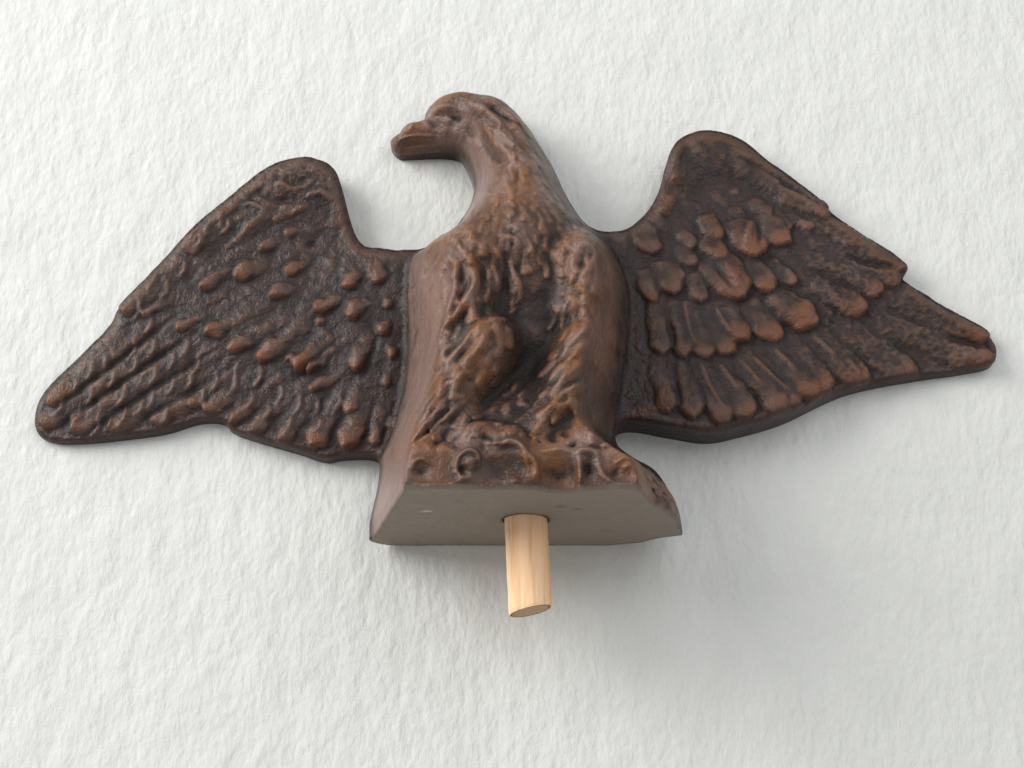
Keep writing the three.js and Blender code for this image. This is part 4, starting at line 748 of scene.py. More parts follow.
def relief(x, z):
    """Height above the flat back, the depth inside the outline, how plain the flank is there, and how
    much of a feather's tip it is."""
    depth, near_x, near_z = depth_inside(outline, x, z)
    in_figure, _, _ = depth_inside(figure, x, z)
    drops, drop_tips = feather_height(left_feathers, x, z, **LEFT_CUT)
    scales, scale_tips = feather_height(right_feathers, x, z, **RIGHT_CUT)
    behind, _ = feather_height(background, x, z, **BACKGROUND_CUT)
    feather, tips = np.maximum(np.maximum(drops, scales), behind), np.maximum(drop_tips, scale_tips)
    plate = blended(PLATE_HEIGHTS, PLATE_BLEND, x, z) - PLATE_SINK
    wing = plate + feather + line_height(wing_lines, x, z)
    body, plain, tuft_tips = figure_height(x, z, in_figure)
    over = in_figure > -BEYOND_FIGURE
    height = np.where(over, soft_max(wing, np.where(over, body, 0), WING_BLEND), wing)
    plain = np.where(over & (body > wing), plain, 0) * ease(*PLAIN_FROM, in_figure)
    tips = np.where(over & (body > wing), TUFT_TIPS_SHARE * tuft_tips, tips)
    looks_up = (near_z - z) / np.maximum(np.abs(depth), 1e-6)
    radius = RIM_RADIUS_DOWN + (RIM_RADIUS_UP - RIM_RADIUS_DOWN) * ease(*RIM_TURNS_UP, looks_up)
    into = np.clip(1 - depth / radius, 0, 1)
    height = height - radius * (1 - np.sqrt(1 - into ** 2))
    for lift, size, seed in SKIN_WAVES:
        height = height + lift * wander(x, z, size, seed)
    coarse = ease(*COARSE_RIGHT_X, x) + ease(*COARSE_LEFT_Z, z) * (x < COARSE_LEFT_X)
    height = height + (SKIN_FINE + SKIN_COARSE * coarse) * wander(x, z, SKIN_SIZE, 8)
    return np.minimum(height, TALLEST), depth, plain, tips


# %% [markdown]
# ## Points on the relief
# The surface is a function of x and z, so any set of points will do. They are laid in a pattern of
# even triangles, closer on the head and the feet, where the detail is small, and the outline gets its
# own evenly spaced points. A Delaunay triangulation then joins them without slivers.

# %% Points and triangles
PITCH = 0.5
FINE_PITCH = 0.34
EDGE_PITCH = 0.5
BACK_PITCH = 2.6
UNDER_PITCH = 0.7
INNER_FROM = 0.3
BACK_INNER_FROM = 1.2
UNDER_INNER_FROM = 0.4
HEAD_BOX = ((-36, 2), (86, math.inf))
FEET_BOX = ((-37, 37), (-math.inf, 19))


def triangle_pattern(low, high, pitch):
    """Rows of points at the pitch, every second row moved by half of it."""
    rows = np.arange(low[1], high[1], pitch * math.sqrt(3) / 2)
    columns = np.arange(low[0], high[0], pitch)
    x, z = np.meshgrid(columns, rows)
    x = x + pitch / 2 * (np.arange(len(rows)) % 2)[:, None]
    return np.c_[x.ravel(), z.ravel()]


def is_fine(points):
    """True on the head and the feet."""
    return in_box(*points.T, HEAD_BOX) | in_box(*points.T, FEET_BOX)


def triangles_between(ring, inner):
    """Delaunay triangles of the ring's points and the inner ones, within the ring, anticlockwise."""
    points = np.vstack([ring, inner])
    count = len(ring)
    edges = [(i, (i + 1) % count) for i in range(count)]
    made, _, triangles, *_ = delaunay_2d_cdt(points.tolist(), edges, [], 1, 1e-7, False)
    if len(made) != len(points):
        raise ValueError("two points fell together")
    a, b, c = np.array(triangles).T
    # A triangle with three corners on the ring lies in it only if it meets them in the ring's order
    in_order = ((a < b) & (b < c)) | ((b < c) & (c < a)) | ((c < a) & (a < b))
    touches_inner = (a >= count) | (b >= count) | (c >= count)
    return np.c_[a, b, c][in_order | touches_inner]


underside_front = even_steps(np.array([OUTLINE_LEFT[0], OUTLINE_RIGHT[-1]], float), EDGE_PITCH)
right_ring = even_steps(right_side, EDGE_PITCH)[::-1]
left_ring = even_steps(left_side, EDGE_PITCH)[::-1]
ring = np.vstack([underside_front[:-1], right_ring[:-1], left_ring[:-1]])
n_front, n_ring = len(underside_front), len(ring)
coarse = triangle_pattern(outline.min(0), outline.max(0), PITCH)
fine = triangle_pattern(outline.min(0), outline.max(0), FINE_PITCH)
pattern = np.vstack([coarse[~is_fine(coarse)], fine[is_fine(fine)]])
pattern_depth, _, _ = depth_inside(ring, *pattern.T)
inner = pattern[pattern_depth > INNER_FROM]
front_faces = triangles_between(ring, inner)
print("ring", n_ring, "inner", len(inner), "front triangles", len(front_faces))

# %% [markdown]
# ## The flat back, the underside and the socket
# The mould was open behind, so the back is flat, with the base's two back corners rounded off. The
# underside is flat too, and the dowel sits in a drilled socket there, which leans as the dowel does.
# The walls are straight down from the rim, in a few rings.

# %% Back corners
BACK_Y = 21.0
CORNER_LEFT = [(-31, 0), (-33.5, 1.2), (-35, 2.8), (-36.2, 5)]
CORNER_RIGHT = [(19, 0), (26.5, 2.6), (30.5, 6.4), (37, 9.5)]
CORNER_TOP_Z = 18.0


def back_height(x, z):
    """How far the back stands off the flat plane: zero but at the base's corners, where it follows the
    measured curves and fades out upwards."""
    left = np.interp(-x, [-p[0] for p in CORNER_LEFT], [p[1] for p in CORNER_LEFT])
    right = np.interp(x, [p[0] for p in CORNER_RIGHT], [p[1] for p in CORNER_RIGHT])
    return (left + right) * (1 - ease(0.5, 1, z / CORNER_TOP_Z))


# %% Relief mesh in four parts
WALL_LEVELS = np.array([1, 0.94, 0.8, 0.55, 0.3, 0.1, 0])
DOWEL_RADIUS = 4.75
DOWEL_SHOWN = 20.3
DOWEL_HIDDEN = 14.0
DOWEL_LEAN = math.radians(2.7)
DOWEL_END_SLOPE = 0.166
FIT_GAP = 0.3
SOCKET_POINTS = 72
LEAST_THICKNESS = 1


def place(x, z, height):
    """Points of the part's frame from x, z and the height above the back's plane."""
    return np.c_[x, BACK_Y - height, z]


front_x, front_z = np.vstack([ring, inner]).T
front_height, front_depth, front_plain, front_tips = relief(front_x, front_z)
back_edge = back_height(*ring.T)
front_height = np.maximum(front_height, back_height(front_x, front_z) + LEAST_THICKNESS)
front_points = place(front_x, front_z, front_height)
print("relief from", round(front_height.min(), 2), "to", round(front_height.max(), 2))

wall_heights = back_edge + (front_height[:n_ring] - back_edge) * WALL_LEVELS[1:, None]
wall_x, wall_z = np.tile(ring.T, len(wall_heights))
wall_points = place(wall_x, wall_z, wall_heights.ravel())
n_points = len(front_points)
level_ids = np.vstack([np.arange(n_ring), n_points + np.arange(len(wall_points)).reshape(-1, n_ring)])


# %% Walls, back and underside
def quads_to_triangles(quads):
    """Two triangles for each four-cornered face."""
    return np.vstack([quads[:, [0, 1, 2]], quads[:, [0, 2, 3]]])


side = np.arange(n_front - 1, n_ring)
after = (side + 1) % n_ring
wall_faces = np.vstack([
    quads_to_triangles(np.c_[upper[side], lower[side], lower[after], upper[after]])
    for upper, lower in zip(level_ids, level_ids[1:])
])

back_inner = triangle_pattern(outline.min(0), outline.max(0), BACK_PITCH)
back_depth, _, _ = depth_inside(ring, *back_inner.T)
back_inner = back_inner[back_depth > BACK_INNER_FROM]
back_triangles = triangles_between(ring, back_inner)[:, ::-1]
back_points = place(*back_inner.T, back_height(*back_inner.T))
n_points += len(wall_points)
back_ids = np.concatenate([level_ids[-1], n_points + np.arange(len(back_points))])
back_faces = back_ids[back_triangles]
n_points += len(back_points)

socket_turn = np.linspace(0, 2 * np.pi, SOCKET_POINTS, endpoint=False)
socket_radius = DOWEL_RADIUS + FIT_GAP
socket_ring = np.c_[socket_radius * np.cos(socket_turn), BACK_Y + socket_radius * np.sin(socket_turn)]
front_row, back_row = level_ids[0][:n_front], level_ids[-1][:n_front]
left_column, right_column = level_ids[1:-1, 0], level_ids[1:-1, n_front - 1]
under_ids = np.concatenate([back_row, right_column[::-1], front_row[::-1], left_column])
all_points = np.vstack([front_points, wall_points, back_points])
under_outer = np.c_[all_points[under_ids, 0], BACK_Y - all_points[under_ids, 1]]
under_inner = triangle_pattern(under_outer.min(0), under_outer.max(0), UNDER_PITCH)
under_depth, _, _ = depth_inside(under_outer, *under_inner.T)
away_from_socket = np.hypot(under_inner[:, 0], under_inner[:, 1] - BACK_Y) - socket_radius
under_inner = under_inner[(under_depth > UNDER_INNER_FROM) & (away_from_socket > UNDER_INNER_FROM)]
under_triangles = triangles_between(under_outer, np.vstack([socket_ring, under_inner]))
in_socket = (under_triangles >= len(under_outer)) & (under_triangles < len(under_outer) + SOCKET_POINTS)
under_triangles = under_triangles[~in_socket.all(axis=1)]
# Each pit's place, radius and depth
PITS = [(7.5, 31, 1.1, 0.7), (11, 29.5, 0.8, 0.5), (-14, 36, 1.0, 0.4), (18, 12, 1.2, 0.5)]
UNDER_WAVE = 0.1
under_x, under_y = under_inner.T
pit_depth = sum(deep * np.exp(-((under_x - px) ** 2 + (under_y - py) ** 2) / wide ** 2)
                for px, py, wide, deep in PITS)
unevenness = np.clip(UNDER_WAVE + UNDER_WAVE * wander(under_x, under_y, 11, 3), 0, 1)
under_lift = unevenness * ease(0, 3, depth_inside(under_outer, under_x, under_y)[0]) + pit_depth
under_points = place(under_x, under_lift, under_y)


# %% Socket
SOCKET_ROWS = 9
SOCKET_LEVELS = np.linspace(0, DOWEL_HIDDEN + FIT_GAP, SOCKET_ROWS)


def along_dowel(across_x, across_y, up):
    """A place given square to the leaning dowel's axis, in the part's frame: the axis goes from the
    socket's mouth up and back by the lean's sine to -x."""
    x = across_x * math.cos(DOWEL_LEAN) - up * math.sin(DOWEL_LEAN)
    z = across_x * math.sin(DOWEL_LEAN) + up * math.cos(DOWEL_LEAN)
    return np.c_[x, across_y, z]


socket_first = n_points + len(under_points)
mouth_ids = socket_first + np.arange(SOCKET_POINTS)
socket_points = [place(socket_ring[:, 0], np.zeros(SOCKET_POINTS), socket_ring[:, 1])]
socket_x, socket_y = socket_radius * np.cos(socket_turn), -socket_radius * np.sin(socket_turn)
for up in SOCKET_LEVELS[1:]:
    socket_points.append(along_dowel(socket_x, socket_y, np.full(SOCKET_POINTS, up)))
socket_points.append(along_dowel(np.zeros(1), np.zeros(1), np.array([SOCKET_LEVELS[-1]])))
socket_points = np.vstack(socket_points)
under_map = np.concatenate([under_ids, mouth_ids, n_points + np.arange(len(under_points))])
under_faces = under_map[under_triangles]
around = np.arange(SOCKET_POINTS)
onward = (around + 1) % SOCKET_POINTS
socket_rows = socket_first + SOCKET_POINTS * np.arange(SOCKET_ROWS - 1)
socket_faces = np.vstack([
    quads_to_triangles(np.c_[low + around, low + onward, high + onward, high + around])
    for low, high in zip(socket_rows, socket_rows + SOCKET_POINTS)
])
top = socket_first + SOCKET_POINTS * (SOCKET_ROWS - 1)
socket_cap = np.c_[top + around, top + onward, np.full(SOCKET_POINTS, socket_first + len(socket_points) - 1)]
eagle_points = np.vstack([all_points, under_points, socket_points])
eagle_faces = np.vstack([front_faces, wall_faces, back_faces, under_faces, socket_faces, socket_cap])
used, eagle_faces = np.unique(eagle_faces, return_inverse=True)
eagle_points, eagle_faces = eagle_points[used], eagle_faces.reshape(-1, 3)
back_edge_points = np.isin(used, level_ids[-1])
print("eagle", len(eagle_points), "points", len(eagle_faces), "triangles")

# %% [markdown]
# ## What the surface remembers, and painted light
# On the real cast the raised feathers are rubbed to a copper brown and the hollows keep the dark
# finish. The dark colour in the hollows also stands in for the shade that falls there, so it is
# partly painted shade. Both can be read from the shape: a point that stands out from the mean of its
# neighbours is worn, and one that lies below it is a hollow. Two masks carry painted light as well:
# the plain flank is paler on the left, which faces the lamp, and between the legs, where shade falls,
# the handled colour is held back. The masks are kept on the mesh for the material.

# %% Masks on the mesh
def edge_pairs(faces):
    """Every edge once, as a pair of point numbers."""
    pairs = np.sort(np.vstack([faces[:, [0, 1]], faces[:, [1, 2]], faces[:, [2, 0]]]), axis=1)
    return np.unique(pairs, axis=0)


def smoothed(points, pairs, rounds):
    """Each point moved again and again to the mean of itself and its neighbours."""
    count = np.bincount(pairs.ravel(), minlength=len(points)) + 1.0
    result = points.copy()
    for _ in range(rounds):
        for axis in range(3):
            values = result[:, axis]
            total = values + np.bincount(pairs[:, 0], values[pairs[:, 1]], len(points)) \
                + np.bincount(pairs[:, 1], values[pairs[:, 0]], len(points))
            result[:, axis] = total / count
    return result


def point_normals(points, faces):
    """Outward normals, each the sum of its triangles' cross products, made of length one."""
    a, b, c = points[faces[:, 0]], points[faces[:, 1]], points[faces[:, 2]]
    cross = np.cross(b - a, c - a)
    normals = np.stack([sum(np.bincount(faces[:, i], cross[:, axis], len(points)) for i in range(3))
                        for axis in range(3)], axis=1)
    return normals / np.maximum(np.linalg.norm(normals, axis=1, keepdims=True), 1e-12)


def facing_down(normals, gain):
    """0 where a normal's fall times the gain is under 2, and 1 where it is over 3."""
    return np.clip(-normals[:, 2] * gain - 2, 0, 1)


def standing_out(rounds):
    """How far each point stands out from the surface smoothed by that many rounds, along its normal."""
    away = eagle_points - smoothed(eagle_points, eagle_pairs, rounds)
    return (away * eagle_normals).sum(axis=1)


def on_front(values):
    """Values on the relief's own points, and zero on the walls, the back and the underside."""
    return np.concatenate([values, np.zeros(len(eagle_points) - len(values))])


def least(share, mask):
    """The mask raised so that it starts from the share instead of from 0."""
    return share + (1 - share) * mask


# How far a point stands out when it is wholly worn, and lies low when it is wholly a hollow, for
# detail (smoothed a few rounds) and for whole masses (many rounds)
DETAIL_ROUNDS, WORN_DETAIL, HOLLOW_DETAIL = 8, 0.12, 0.3
MASS_ROUNDS, WORN_MASS, HOLLOW_MASS = 50, 0.5, 0.7
RIM_DEPTH, RIM_LEAST = (0.8, 3), 0.3
FIGURE_FOOT_REACH, FOOT_SHARE = 2.5, 0.7
HEAD_FROM_X, HEAD_FROM_Z, HEAD_SHARE = (-4, -14), (97, 102), 0.8
HANDLED_HEIGHT, WORN_LEAST = (10, 26), 0.5
PLAIN_SHARE = 0.7
COPPER_TIPS = (0.35, 1.5)
RIGHT_WING_X, RIGHT_WING_LEAST = (35, 62), 0.35
# Painted shade between the legs: where it lies, and how much of the handled colour it takes away
LEGS_X, LEGS_REACH, LEGS_SHARE = 1.5, 7, 0.95
LEGS_Z, LEGS_HEIGHT = (62, 50), (42, 37)
# Painted light on the plain flank: its paler colour is full on the left, which faces the lamp, and a share
# on the right, which lies in shade
LAMPLIT_FLANK_X, SHADED_FLANK_LEAST = (10, -10), 0.35
UNDER_TOP_Z = 2
n_relief = len(front_points)
eagle_pairs = edge_pairs(eagle_faces)
eagle_normals = point_normals(eagle_points, eagle_faces)
detail, mass = standing_out(DETAIL_ROUNDS)[:n_relief], standing_out(MASS_ROUNDS)[:n_relief]
from_rim = least(RIM_LEAST, ease(*RIM_DEPTH, front_depth))
at_foot = np.exp(-(depth_inside(figure, front_x, front_z)[0] / FIGURE_FOOT_REACH) ** 2)
tops = np.clip(0.5 * detail / WORN_DETAIL + 0.5 * mass / WORN_MASS, 0, 1)
lows = np.clip(-detail / HOLLOW_DETAIL, 0, 1) * 0.5 + np.clip(-mass / HOLLOW_MASS, 0, 1) * 0.5
on_head = ease(*HEAD_FROM_X, front_x) * ease(*HEAD_FROM_Z, front_z)
front_handled = np.maximum(ease(*HANDLED_HEIGHT, front_height), HEAD_SHARE * on_head)
worn = on_front(tops * (1 - PLAIN_SHARE * front_plain) * from_rim * least(WORN_LEAST, front_handled))
from_body = np.where(front_x > 0, least(RIGHT_WING_LEAST, ease(*RIGHT_WING_X, front_x)), 1)
copper = on_front(ease(*COPPER_TIPS, front_tips) * from_rim * from_body)
# Painted shade: between the legs the handled colour is held back, so the hollow stays dark as in shade
in_middle = np.exp(-((front_x - LEGS_X) / LEGS_REACH) ** 2)
shade_between_legs = in_middle * ease(*LEGS_Z, front_z) * ease(*LEGS_HEIGHT, front_height)
handled_and_leg_shade = on_front(front_handled * (1 - LEGS_SHARE * shade_between_legs))
# The hollow mask darkens the colour: real stain and painted shade together
hollow = on_front(lows * (1 - FOOT_SHARE * at_foot))
# Painted light: the plain flank mask is full on the left flank, which faces the lamp, and at about a third
# on the shaded right
plain = on_front(front_plain * least(SHADED_FLANK_LEAST, ease(*LAMPLIT_FLANK_X, front_x)))
under = facing_down(eagle_normals, gain=3) * (eagle_points[:, 2] < UNDER_TOP_Z)
FLECK_X, FLECK_HEIGHT = -21.6, 27.4
FLECK_LONG, FLECK_NARROW = 1.1, 0.6
from_fleck_x = (eagle_points[:, 0] - FLECK_X) / FLECK_LONG
from_fleck_y = (BACK_Y - eagle_points[:, 1] - FLECK_HEIGHT) / FLECK_NARROW
from_fleck = np.hypot(from_fleck_x, from_fleck_y)
fleck = under * ease(1.4, 0.7, from_fleck)
print("worn mean", worn.mean().round(3), "hollow mean", hollow.mean().round(3))


# %% Put a mesh into Blender
def new_piece(name, points, faces, masks):
    """An object with its place in its mesh, in metres, smooth all over, with float masks on its points."""
    mesh = bpy.data.meshes.new(name)
    mesh.from_pydata((points * MM).tolist(), [], faces.tolist())
    mesh.polygons.foreach_set("use_smooth", np.ones(len(faces), bool))
    for mask, values in masks.items():
        mesh.attributes.new(mask, "FLOAT", "POINT").data.foreach_set("value", values.astype(np.float32))
    piece = bpy.data.objects.new(name, mesh)
    bpy.context.collection.objects.link(piece)
    return piece


eagle_masks = {"worn": worn, "copper": copper, "hollow": hollow, "plain": plain, "handled_and_leg_shade": handled_and_leg_shade,
               "under": under, "fleck": fleck}
eagle = new_piece("eagle_relief", eagle_points, eagle_faces, eagle_masks)
edge_ends = np.zeros(len(eagle.data.edges) * 2, int)
eagle.data.edges.foreach_get("vertices", edge_ends)
is_sharp = back_edge_points[edge_ends.reshape(-1, 2)].all(axis=1)
eagle.data.attributes.new("sharp_edge", "BOOLEAN", "EDGE").data.foreach_set("value", is_sharp)
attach(eagle, "root")
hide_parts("eagle")

# %% [markdown]
# ## The dowel
# A bought wooden dowel, cut off by hand with a slanting saw cut. It is a round bar with a few flats
# and dents of under a tenth of a millimetre, and the saw cut's edge is broken all round.

# %% Dowel
DOWEL_AROUND = 96
DOWEL_ALONG = 120
END_RINGS = np.array([0.35, 0.7, 0.95])
DOWEL_SHAVED = 0.06
DOWEL_DENTS = 0.05
DENT_SIZE = 1.6
DENT_STRETCH = 0.12
BROKEN_EDGE = 0.25


def dowel_surface():
    """A closed bar: radius·(cos a, sin a) carried along the axis, drawn in to the middle at both ends,
    with the lower end tipped by the saw's slope times the distance to the side."""
    turn = np.linspace(0, 2 * np.pi, DOWEL_AROUND, endpoint=False)
    along = np.linspace(-DOWEL_SHOWN, DOWEL_HIDDEN, DOWEL_ALONG)
    share = np.concatenate([END_RINGS, np.ones(DOWEL_ALONG), END_RINGS[::-1]])
    up = np.pad(along, len(END_RINGS), mode="edge")
    wide, turned = np.meshgrid(share, turn, indexing="ij")
    dents = DOWEL_DENTS * wander(turned * DOWEL_RADIUS, up[:, None] * DENT_STRETCH, DENT_SIZE, 5)
    edge_break = BROKEN_EDGE * (np.exp(-((up - along[0]) / BROKEN_EDGE) ** 2) * (share == 1))[:, None]
    radius = (DOWEL_RADIUS - DOWEL_SHAVED + dents - edge_break) * wide
    across_x, across_y = radius * np.cos(turned), radius * np.sin(turned)
    low_end = ease(0, 1, (0 - up) / DOWEL_SHOWN)[:, None]
    height = up[:, None] + DOWEL_END_SLOPE * across_x * low_end
    return along_dowel(across_x.ravel(), across_y.ravel(), height.ravel()), len(share)


def close_bar(rows, columns):
    """Triangles of a bar given as rows of points from the lower end up, with a fan on each end."""
    n, m = np.arange(rows - 1)[:, None] * columns, np.arange(columns)[None, :]
    right = (m + 1) % columns
    quads = np.stack([n + m, n + right, n + columns + right, n + columns + m], axis=-1).reshape(-1, 4)
    low_middle, high_middle = rows * columns, rows * columns + 1
    first, last = np.arange(columns), (rows - 1) * columns + np.arange(columns)
    low_fan = np.c_[np.roll(first, -1), first, np.full(columns, low_middle)]
    high_fan = np.c_[last, np.roll(last, -1), np.full(columns, high_middle)]
    return np.vstack([quads_to_triangles(quads), low_fan, high_fan])


dowel_points, dowel_rows = dowel_surface()
dowel_ends = np.vstack([dowel_points[:DOWEL_AROUND].mean(axis=0), dowel_points[-DOWEL_AROUND:].mean(axis=0)])
dowel_points = np.vstack([dowel_points, dowel_ends])
dowel_faces = close_bar(dowel_rows, DOWEL_AROUND)
dowel_normals = point_normals(dowel_points, dowel_faces)
sawn = facing_down(dowel_normals, gain=4)
dowel = new_piece("dowel", dowel_points, dowel_faces, {"sawn": sawn})
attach(dowel, "root")
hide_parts("peg")
print("dowel", len(dowel_points), "points", len(dowel_faces), "triangles")

# %% [markdown]
# ## Shader tools
# Colours are measured on screens as sRGB and Blender wants them linear, so one small function turns
# them. A second one adds a node and sets its sockets by name, which keeps the materials short.

# %% Shader helpers
def linear(red, green, blue):
    """A screen colour from 0 to 255 as Blender's linear colour: ((c + 0.055) / 1.055)^2.4."""
    values = np.array([red, green, blue]) / 255
    low = values / 12.92
    high = ((values + 0.055) / 1.055) ** 2.4
    return (*np.where(values <= 0.04045, low, high).tolist(), 1.0)


def add(tree, kind, links=None, **settings):
    """A node of the kind, with its own settings, and with sockets set to values or fed by others."""
    node = tree.nodes.new(kind)
    for name, value in settings.items():
        setattr(node, name, value)
    for name, value in (links or {}).items():
        if isinstance(value, bpy.types.NodeSocket):
            tree.links.new(value, node.inputs[name])
        else:
            node.inputs[name].default_value = value
    return node


def mixed(tree, factor, first, second):
    """Colour first where the factor is 0 and second where it is 1."""
    node = add(tree, "ShaderNodeMix", {0: factor, 6: first, 7: second}, data_type="RGBA")
    return node.outputs[2]


def maths(tree, operation, first, second=0.0, clamp=False):
    """One step of arithmetic on two values."""
    node = add(tree, "ShaderNodeMath", {0: first, 1: second}, operation=operation, use_clamp=clamp)
    return node.outputs[0]


def ramp(tree, value, low, high):
    """0 below low and 1 above high, with a smooth step between."""
    node = add(tree, "ShaderNodeMapRange", {0: value, 1: low, 2: high}, interpolation_type="SMOOTHSTEP")
    return node.outputs[0]


def noise(tree, place_socket, scale, detail):
    """Cloudy values around a half, with more fine detail where detail is higher."""
    node = add(tree, "ShaderNodeTexNoise", {"Vector": place_socket, "Scale": scale, "Detail": detail})
    return node.outputs[0]


def stretched(tree, place_socket, scale):
    """The place times a factor for each axis, which draws a pattern out along the smaller ones."""
    return add(tree, "ShaderNodeMapping", {"Vector": place_socket, "Scale": scale}).outputs[0]


def add_bumps(tree, shader, height, strength, distance):
    """The height as fine bumps on the shader's normal."""
    bump = add(tree, "ShaderNodeBump", {"Height": height, "Strength": strength, "Distance": distance})
    tree.links.new(bump.outputs[0], shader.inputs["Normal"])


def attribute(tree, name):
    """A mask that was kept on the mesh's points."""
    return add(tree, "ShaderNodeAttribute", attribute_name=name).outputs["Fac"]


print("linear mid grey", linear(128, 128, 128)[0])

# %% [markdown]
# ## Grain as a node group
# Cast composition and sawn wood both have a fine pitted grain. One group makes it: a noise for the
# general unevenness and a cell pattern for pits, both from a place that the material hands in, so
# each material chooses its own size.

# %% Pitted grain group
grain = bpy.data.node_groups.new("pitted_grain", "ShaderNodeTree")
grain.interface.new_socket("Place", in_out="INPUT", socket_type="NodeSocketVector")
grain.interface.new_socket("Size", in_out="INPUT", socket_type="NodeSocketFloat")
grain.interface.new_socket("Pits", in_out="INPUT", socket_type="NodeSocketFloat")
grain.interface.new_socket("Height", in_out="OUTPUT", socket_type="NodeSocketFloat")
grain.interface.new_socket("Mottle", in_out="OUTPUT", socket_type="NodeSocketFloat")
grain_in = grain.nodes.new("NodeGroupInput")
grain_out = grain.nodes.new("NodeGroupOutput")
place_in, size_in = grain_in.outputs["Place"], grain_in.outputs["Size"]
rough_node = add(grain, "ShaderNodeTexNoise", {"Vector": place_in, "Scale": size_in, "Detail": 5.0,
                                               "Roughness": 0.6})
broad = noise(grain, place_in, scale=maths(grain, "MULTIPLY", size_in, 0.17), detail=3.0)
middle = noise(grain, place_in, scale=maths(grain, "MULTIPLY", size_in, 0.33), detail=2.0)
cell_size = maths(grain, "MULTIPLY", size_in, 0.6)
cells = add(grain, "ShaderNodeTexVoronoi", {"Vector": place_in, "Scale": cell_size})
pit = maths(grain, "SUBTRACT", 1.0, ramp(grain, cells.outputs["Distance"], 0.05, 0.3))
pit = maths(grain, "MULTIPLY", pit, grain_in.outputs["Pits"])
pit = maths(grain, "MULTIPLY", pit, ramp(grain, broad, 0.5, 0.7))
rough_share = maths(grain, "MULTIPLY", rough_node.outputs[0], 0.6)
uneven = maths(grain, "ADD", rough_share, maths(grain, "MULTIPLY", middle, 1.2))
grain.links.new(maths(grain, "SUBTRACT", uneven, pit), grain_out.inputs["Height"])
grain.links.new(broad, grain_out.inputs["Mottle"])


def grain_node(tree, place_socket, size, pits):
    """The pitted grain at its own size, as a node of the material."""
    node = add(tree, "ShaderNodeGroup", node_tree=grain)
    tree.links.new(place_socket, node.inputs["Place"])
    node.inputs["Size"].default_value = size
    node.inputs["Pits"].default_value = pits
    return node


# %% [markdown]
# ## The cast's finish
# The composition was stained nearly black-brown and has been handled for long. The stain stays in
# the hollows, and its dark colour there is also painted shade; between the legs the handled colour is
# held back, which is painted shade too. The plain flanks are a greyer brown, painted paler on the
# left flank, which faces the lamp, as painted light. The tops of the feathers have gone to a warm
# copper brown with a soft shine. The underside was never finished and is a flat grey-brown.

# %% Cast composition
STAIN_AND_SHADE = linear(30, 21, 17)
BODY = linear(33, 24, 21)
BODY_REDDER = linear(50, 30, 24)
COPPER = linear(104, 62, 39)
RUBBED = linear(122, 94, 82)
RUBBED_WARMER = linear(120, 80, 50)
# The flank colour is partly the flank's own greyer tone and partly painted light
FLANK_TONE_AND_LIGHT = linear(126, 102, 93)
UNDERSIDE = linear(134, 122, 110)
CREAM = linear(196, 184, 158)


def new_material(name):
    """An empty material with its output, its shader and the object's own coordinates."""
    material = bpy.data.materials.new(name)
    material.use_nodes = True
    tree = material.node_tree
    tree.nodes.clear()
    shader = tree.nodes.new("ShaderNodeBsdfPrincipled")
    output = tree.nodes.new("ShaderNodeOutputMaterial")
    tree.links.new(shader.outputs[0], output.inputs["Surface"])
    place_socket = tree.nodes.new("ShaderNodeTexCoord").outputs["Object"]
    return material, tree, shader, place_socket


cast, tree, shader, place_socket = new_material("cast_composition")
fine_grain = grain_node(tree, place_socket, size=1600.0, pits=0.5)
patches = noise(tree, place_socket, scale=60.0, detail=4.0)
worn_mask, hollow_mask = attribute(tree, "worn"), attribute(tree, "hollow")
plain_and_lit_flank_mask, under_mask = attribute(tree, "plain"), attribute(tree, "under")
rubbed = maths(tree, "MULTIPLY", worn_mask, maths(tree, "ADD", 0.3, patches))
bared = maths(tree, "MULTIPLY", attribute(tree, "copper"), maths(tree, "ADD", 0.25, patches))
colour = mixed(tree, ramp(tree, fine_grain.outputs["Mottle"], 0.3, 0.7), BODY, BODY_REDDER)
# Painted shade: this mask is low between the legs, so the colour stays dark there as in shade
handled_and_leg_shade_mask = maths(tree, "MULTIPLY", attribute(tree, "handled_and_leg_shade"), ramp(tree, patches, 0.28, 0.78))
drift = noise(tree, place_socket, scale=130.0, detail=3.0)
rubbed_colour = mixed(tree, ramp(tree, drift, 0.38, 0.62), RUBBED, RUBBED_WARMER)
colour = mixed(tree, maths(tree, "MAXIMUM", handled_and_leg_shade_mask, rubbed), colour, rubbed_colour)
streaks = noise(tree, stretched(tree, place_socket, (1.0, 1.0, 0.25)), scale=420.0, detail=4.0)
# Painted light: the paler flank colour falls mostly on the left flank, which faces the lamp
colour = mixed(tree, maths(tree, "MULTIPLY", plain_and_lit_flank_mask, ramp(tree, streaks, -0.6, 1.0)), colour, FLANK_TONE_AND_LIGHT)
colour = mixed(tree, bared, colour, COPPER)
# The hollows get the dark stain colour, which is real stain and painted shade together
colour = mixed(tree, ramp(tree, hollow_mask, 0.02, 0.85), colour, STAIN_AND_SHADE)
colour = mixed(tree, under_mask, colour, UNDERSIDE)
colour = mixed(tree, attribute(tree, "fleck"), colour, CREAM)
tree.links.new(colour, shader.inputs["Base Color"])
gloss = maths(tree, "ADD", 0.26, maths(tree, "MULTIPLY", hollow_mask, 0.3))
gloss = maths(tree, "ADD", gloss, maths(tree, "MULTIPLY", under_mask, 0.25))
gloss = maths(tree, "ADD", gloss, maths(tree, "MULTIPLY", fine_grain.outputs["Height"], 0.12), clamp=True)
tree.links.new(gloss, shader.inputs["Roughness"])
add_bumps(tree, shader, fine_grain.outputs["Height"], strength=0.6, distance=0.0007)
shader.inputs["Specular IOR Level"].default_value = 0.34
eagle.data.materials.append(cast)

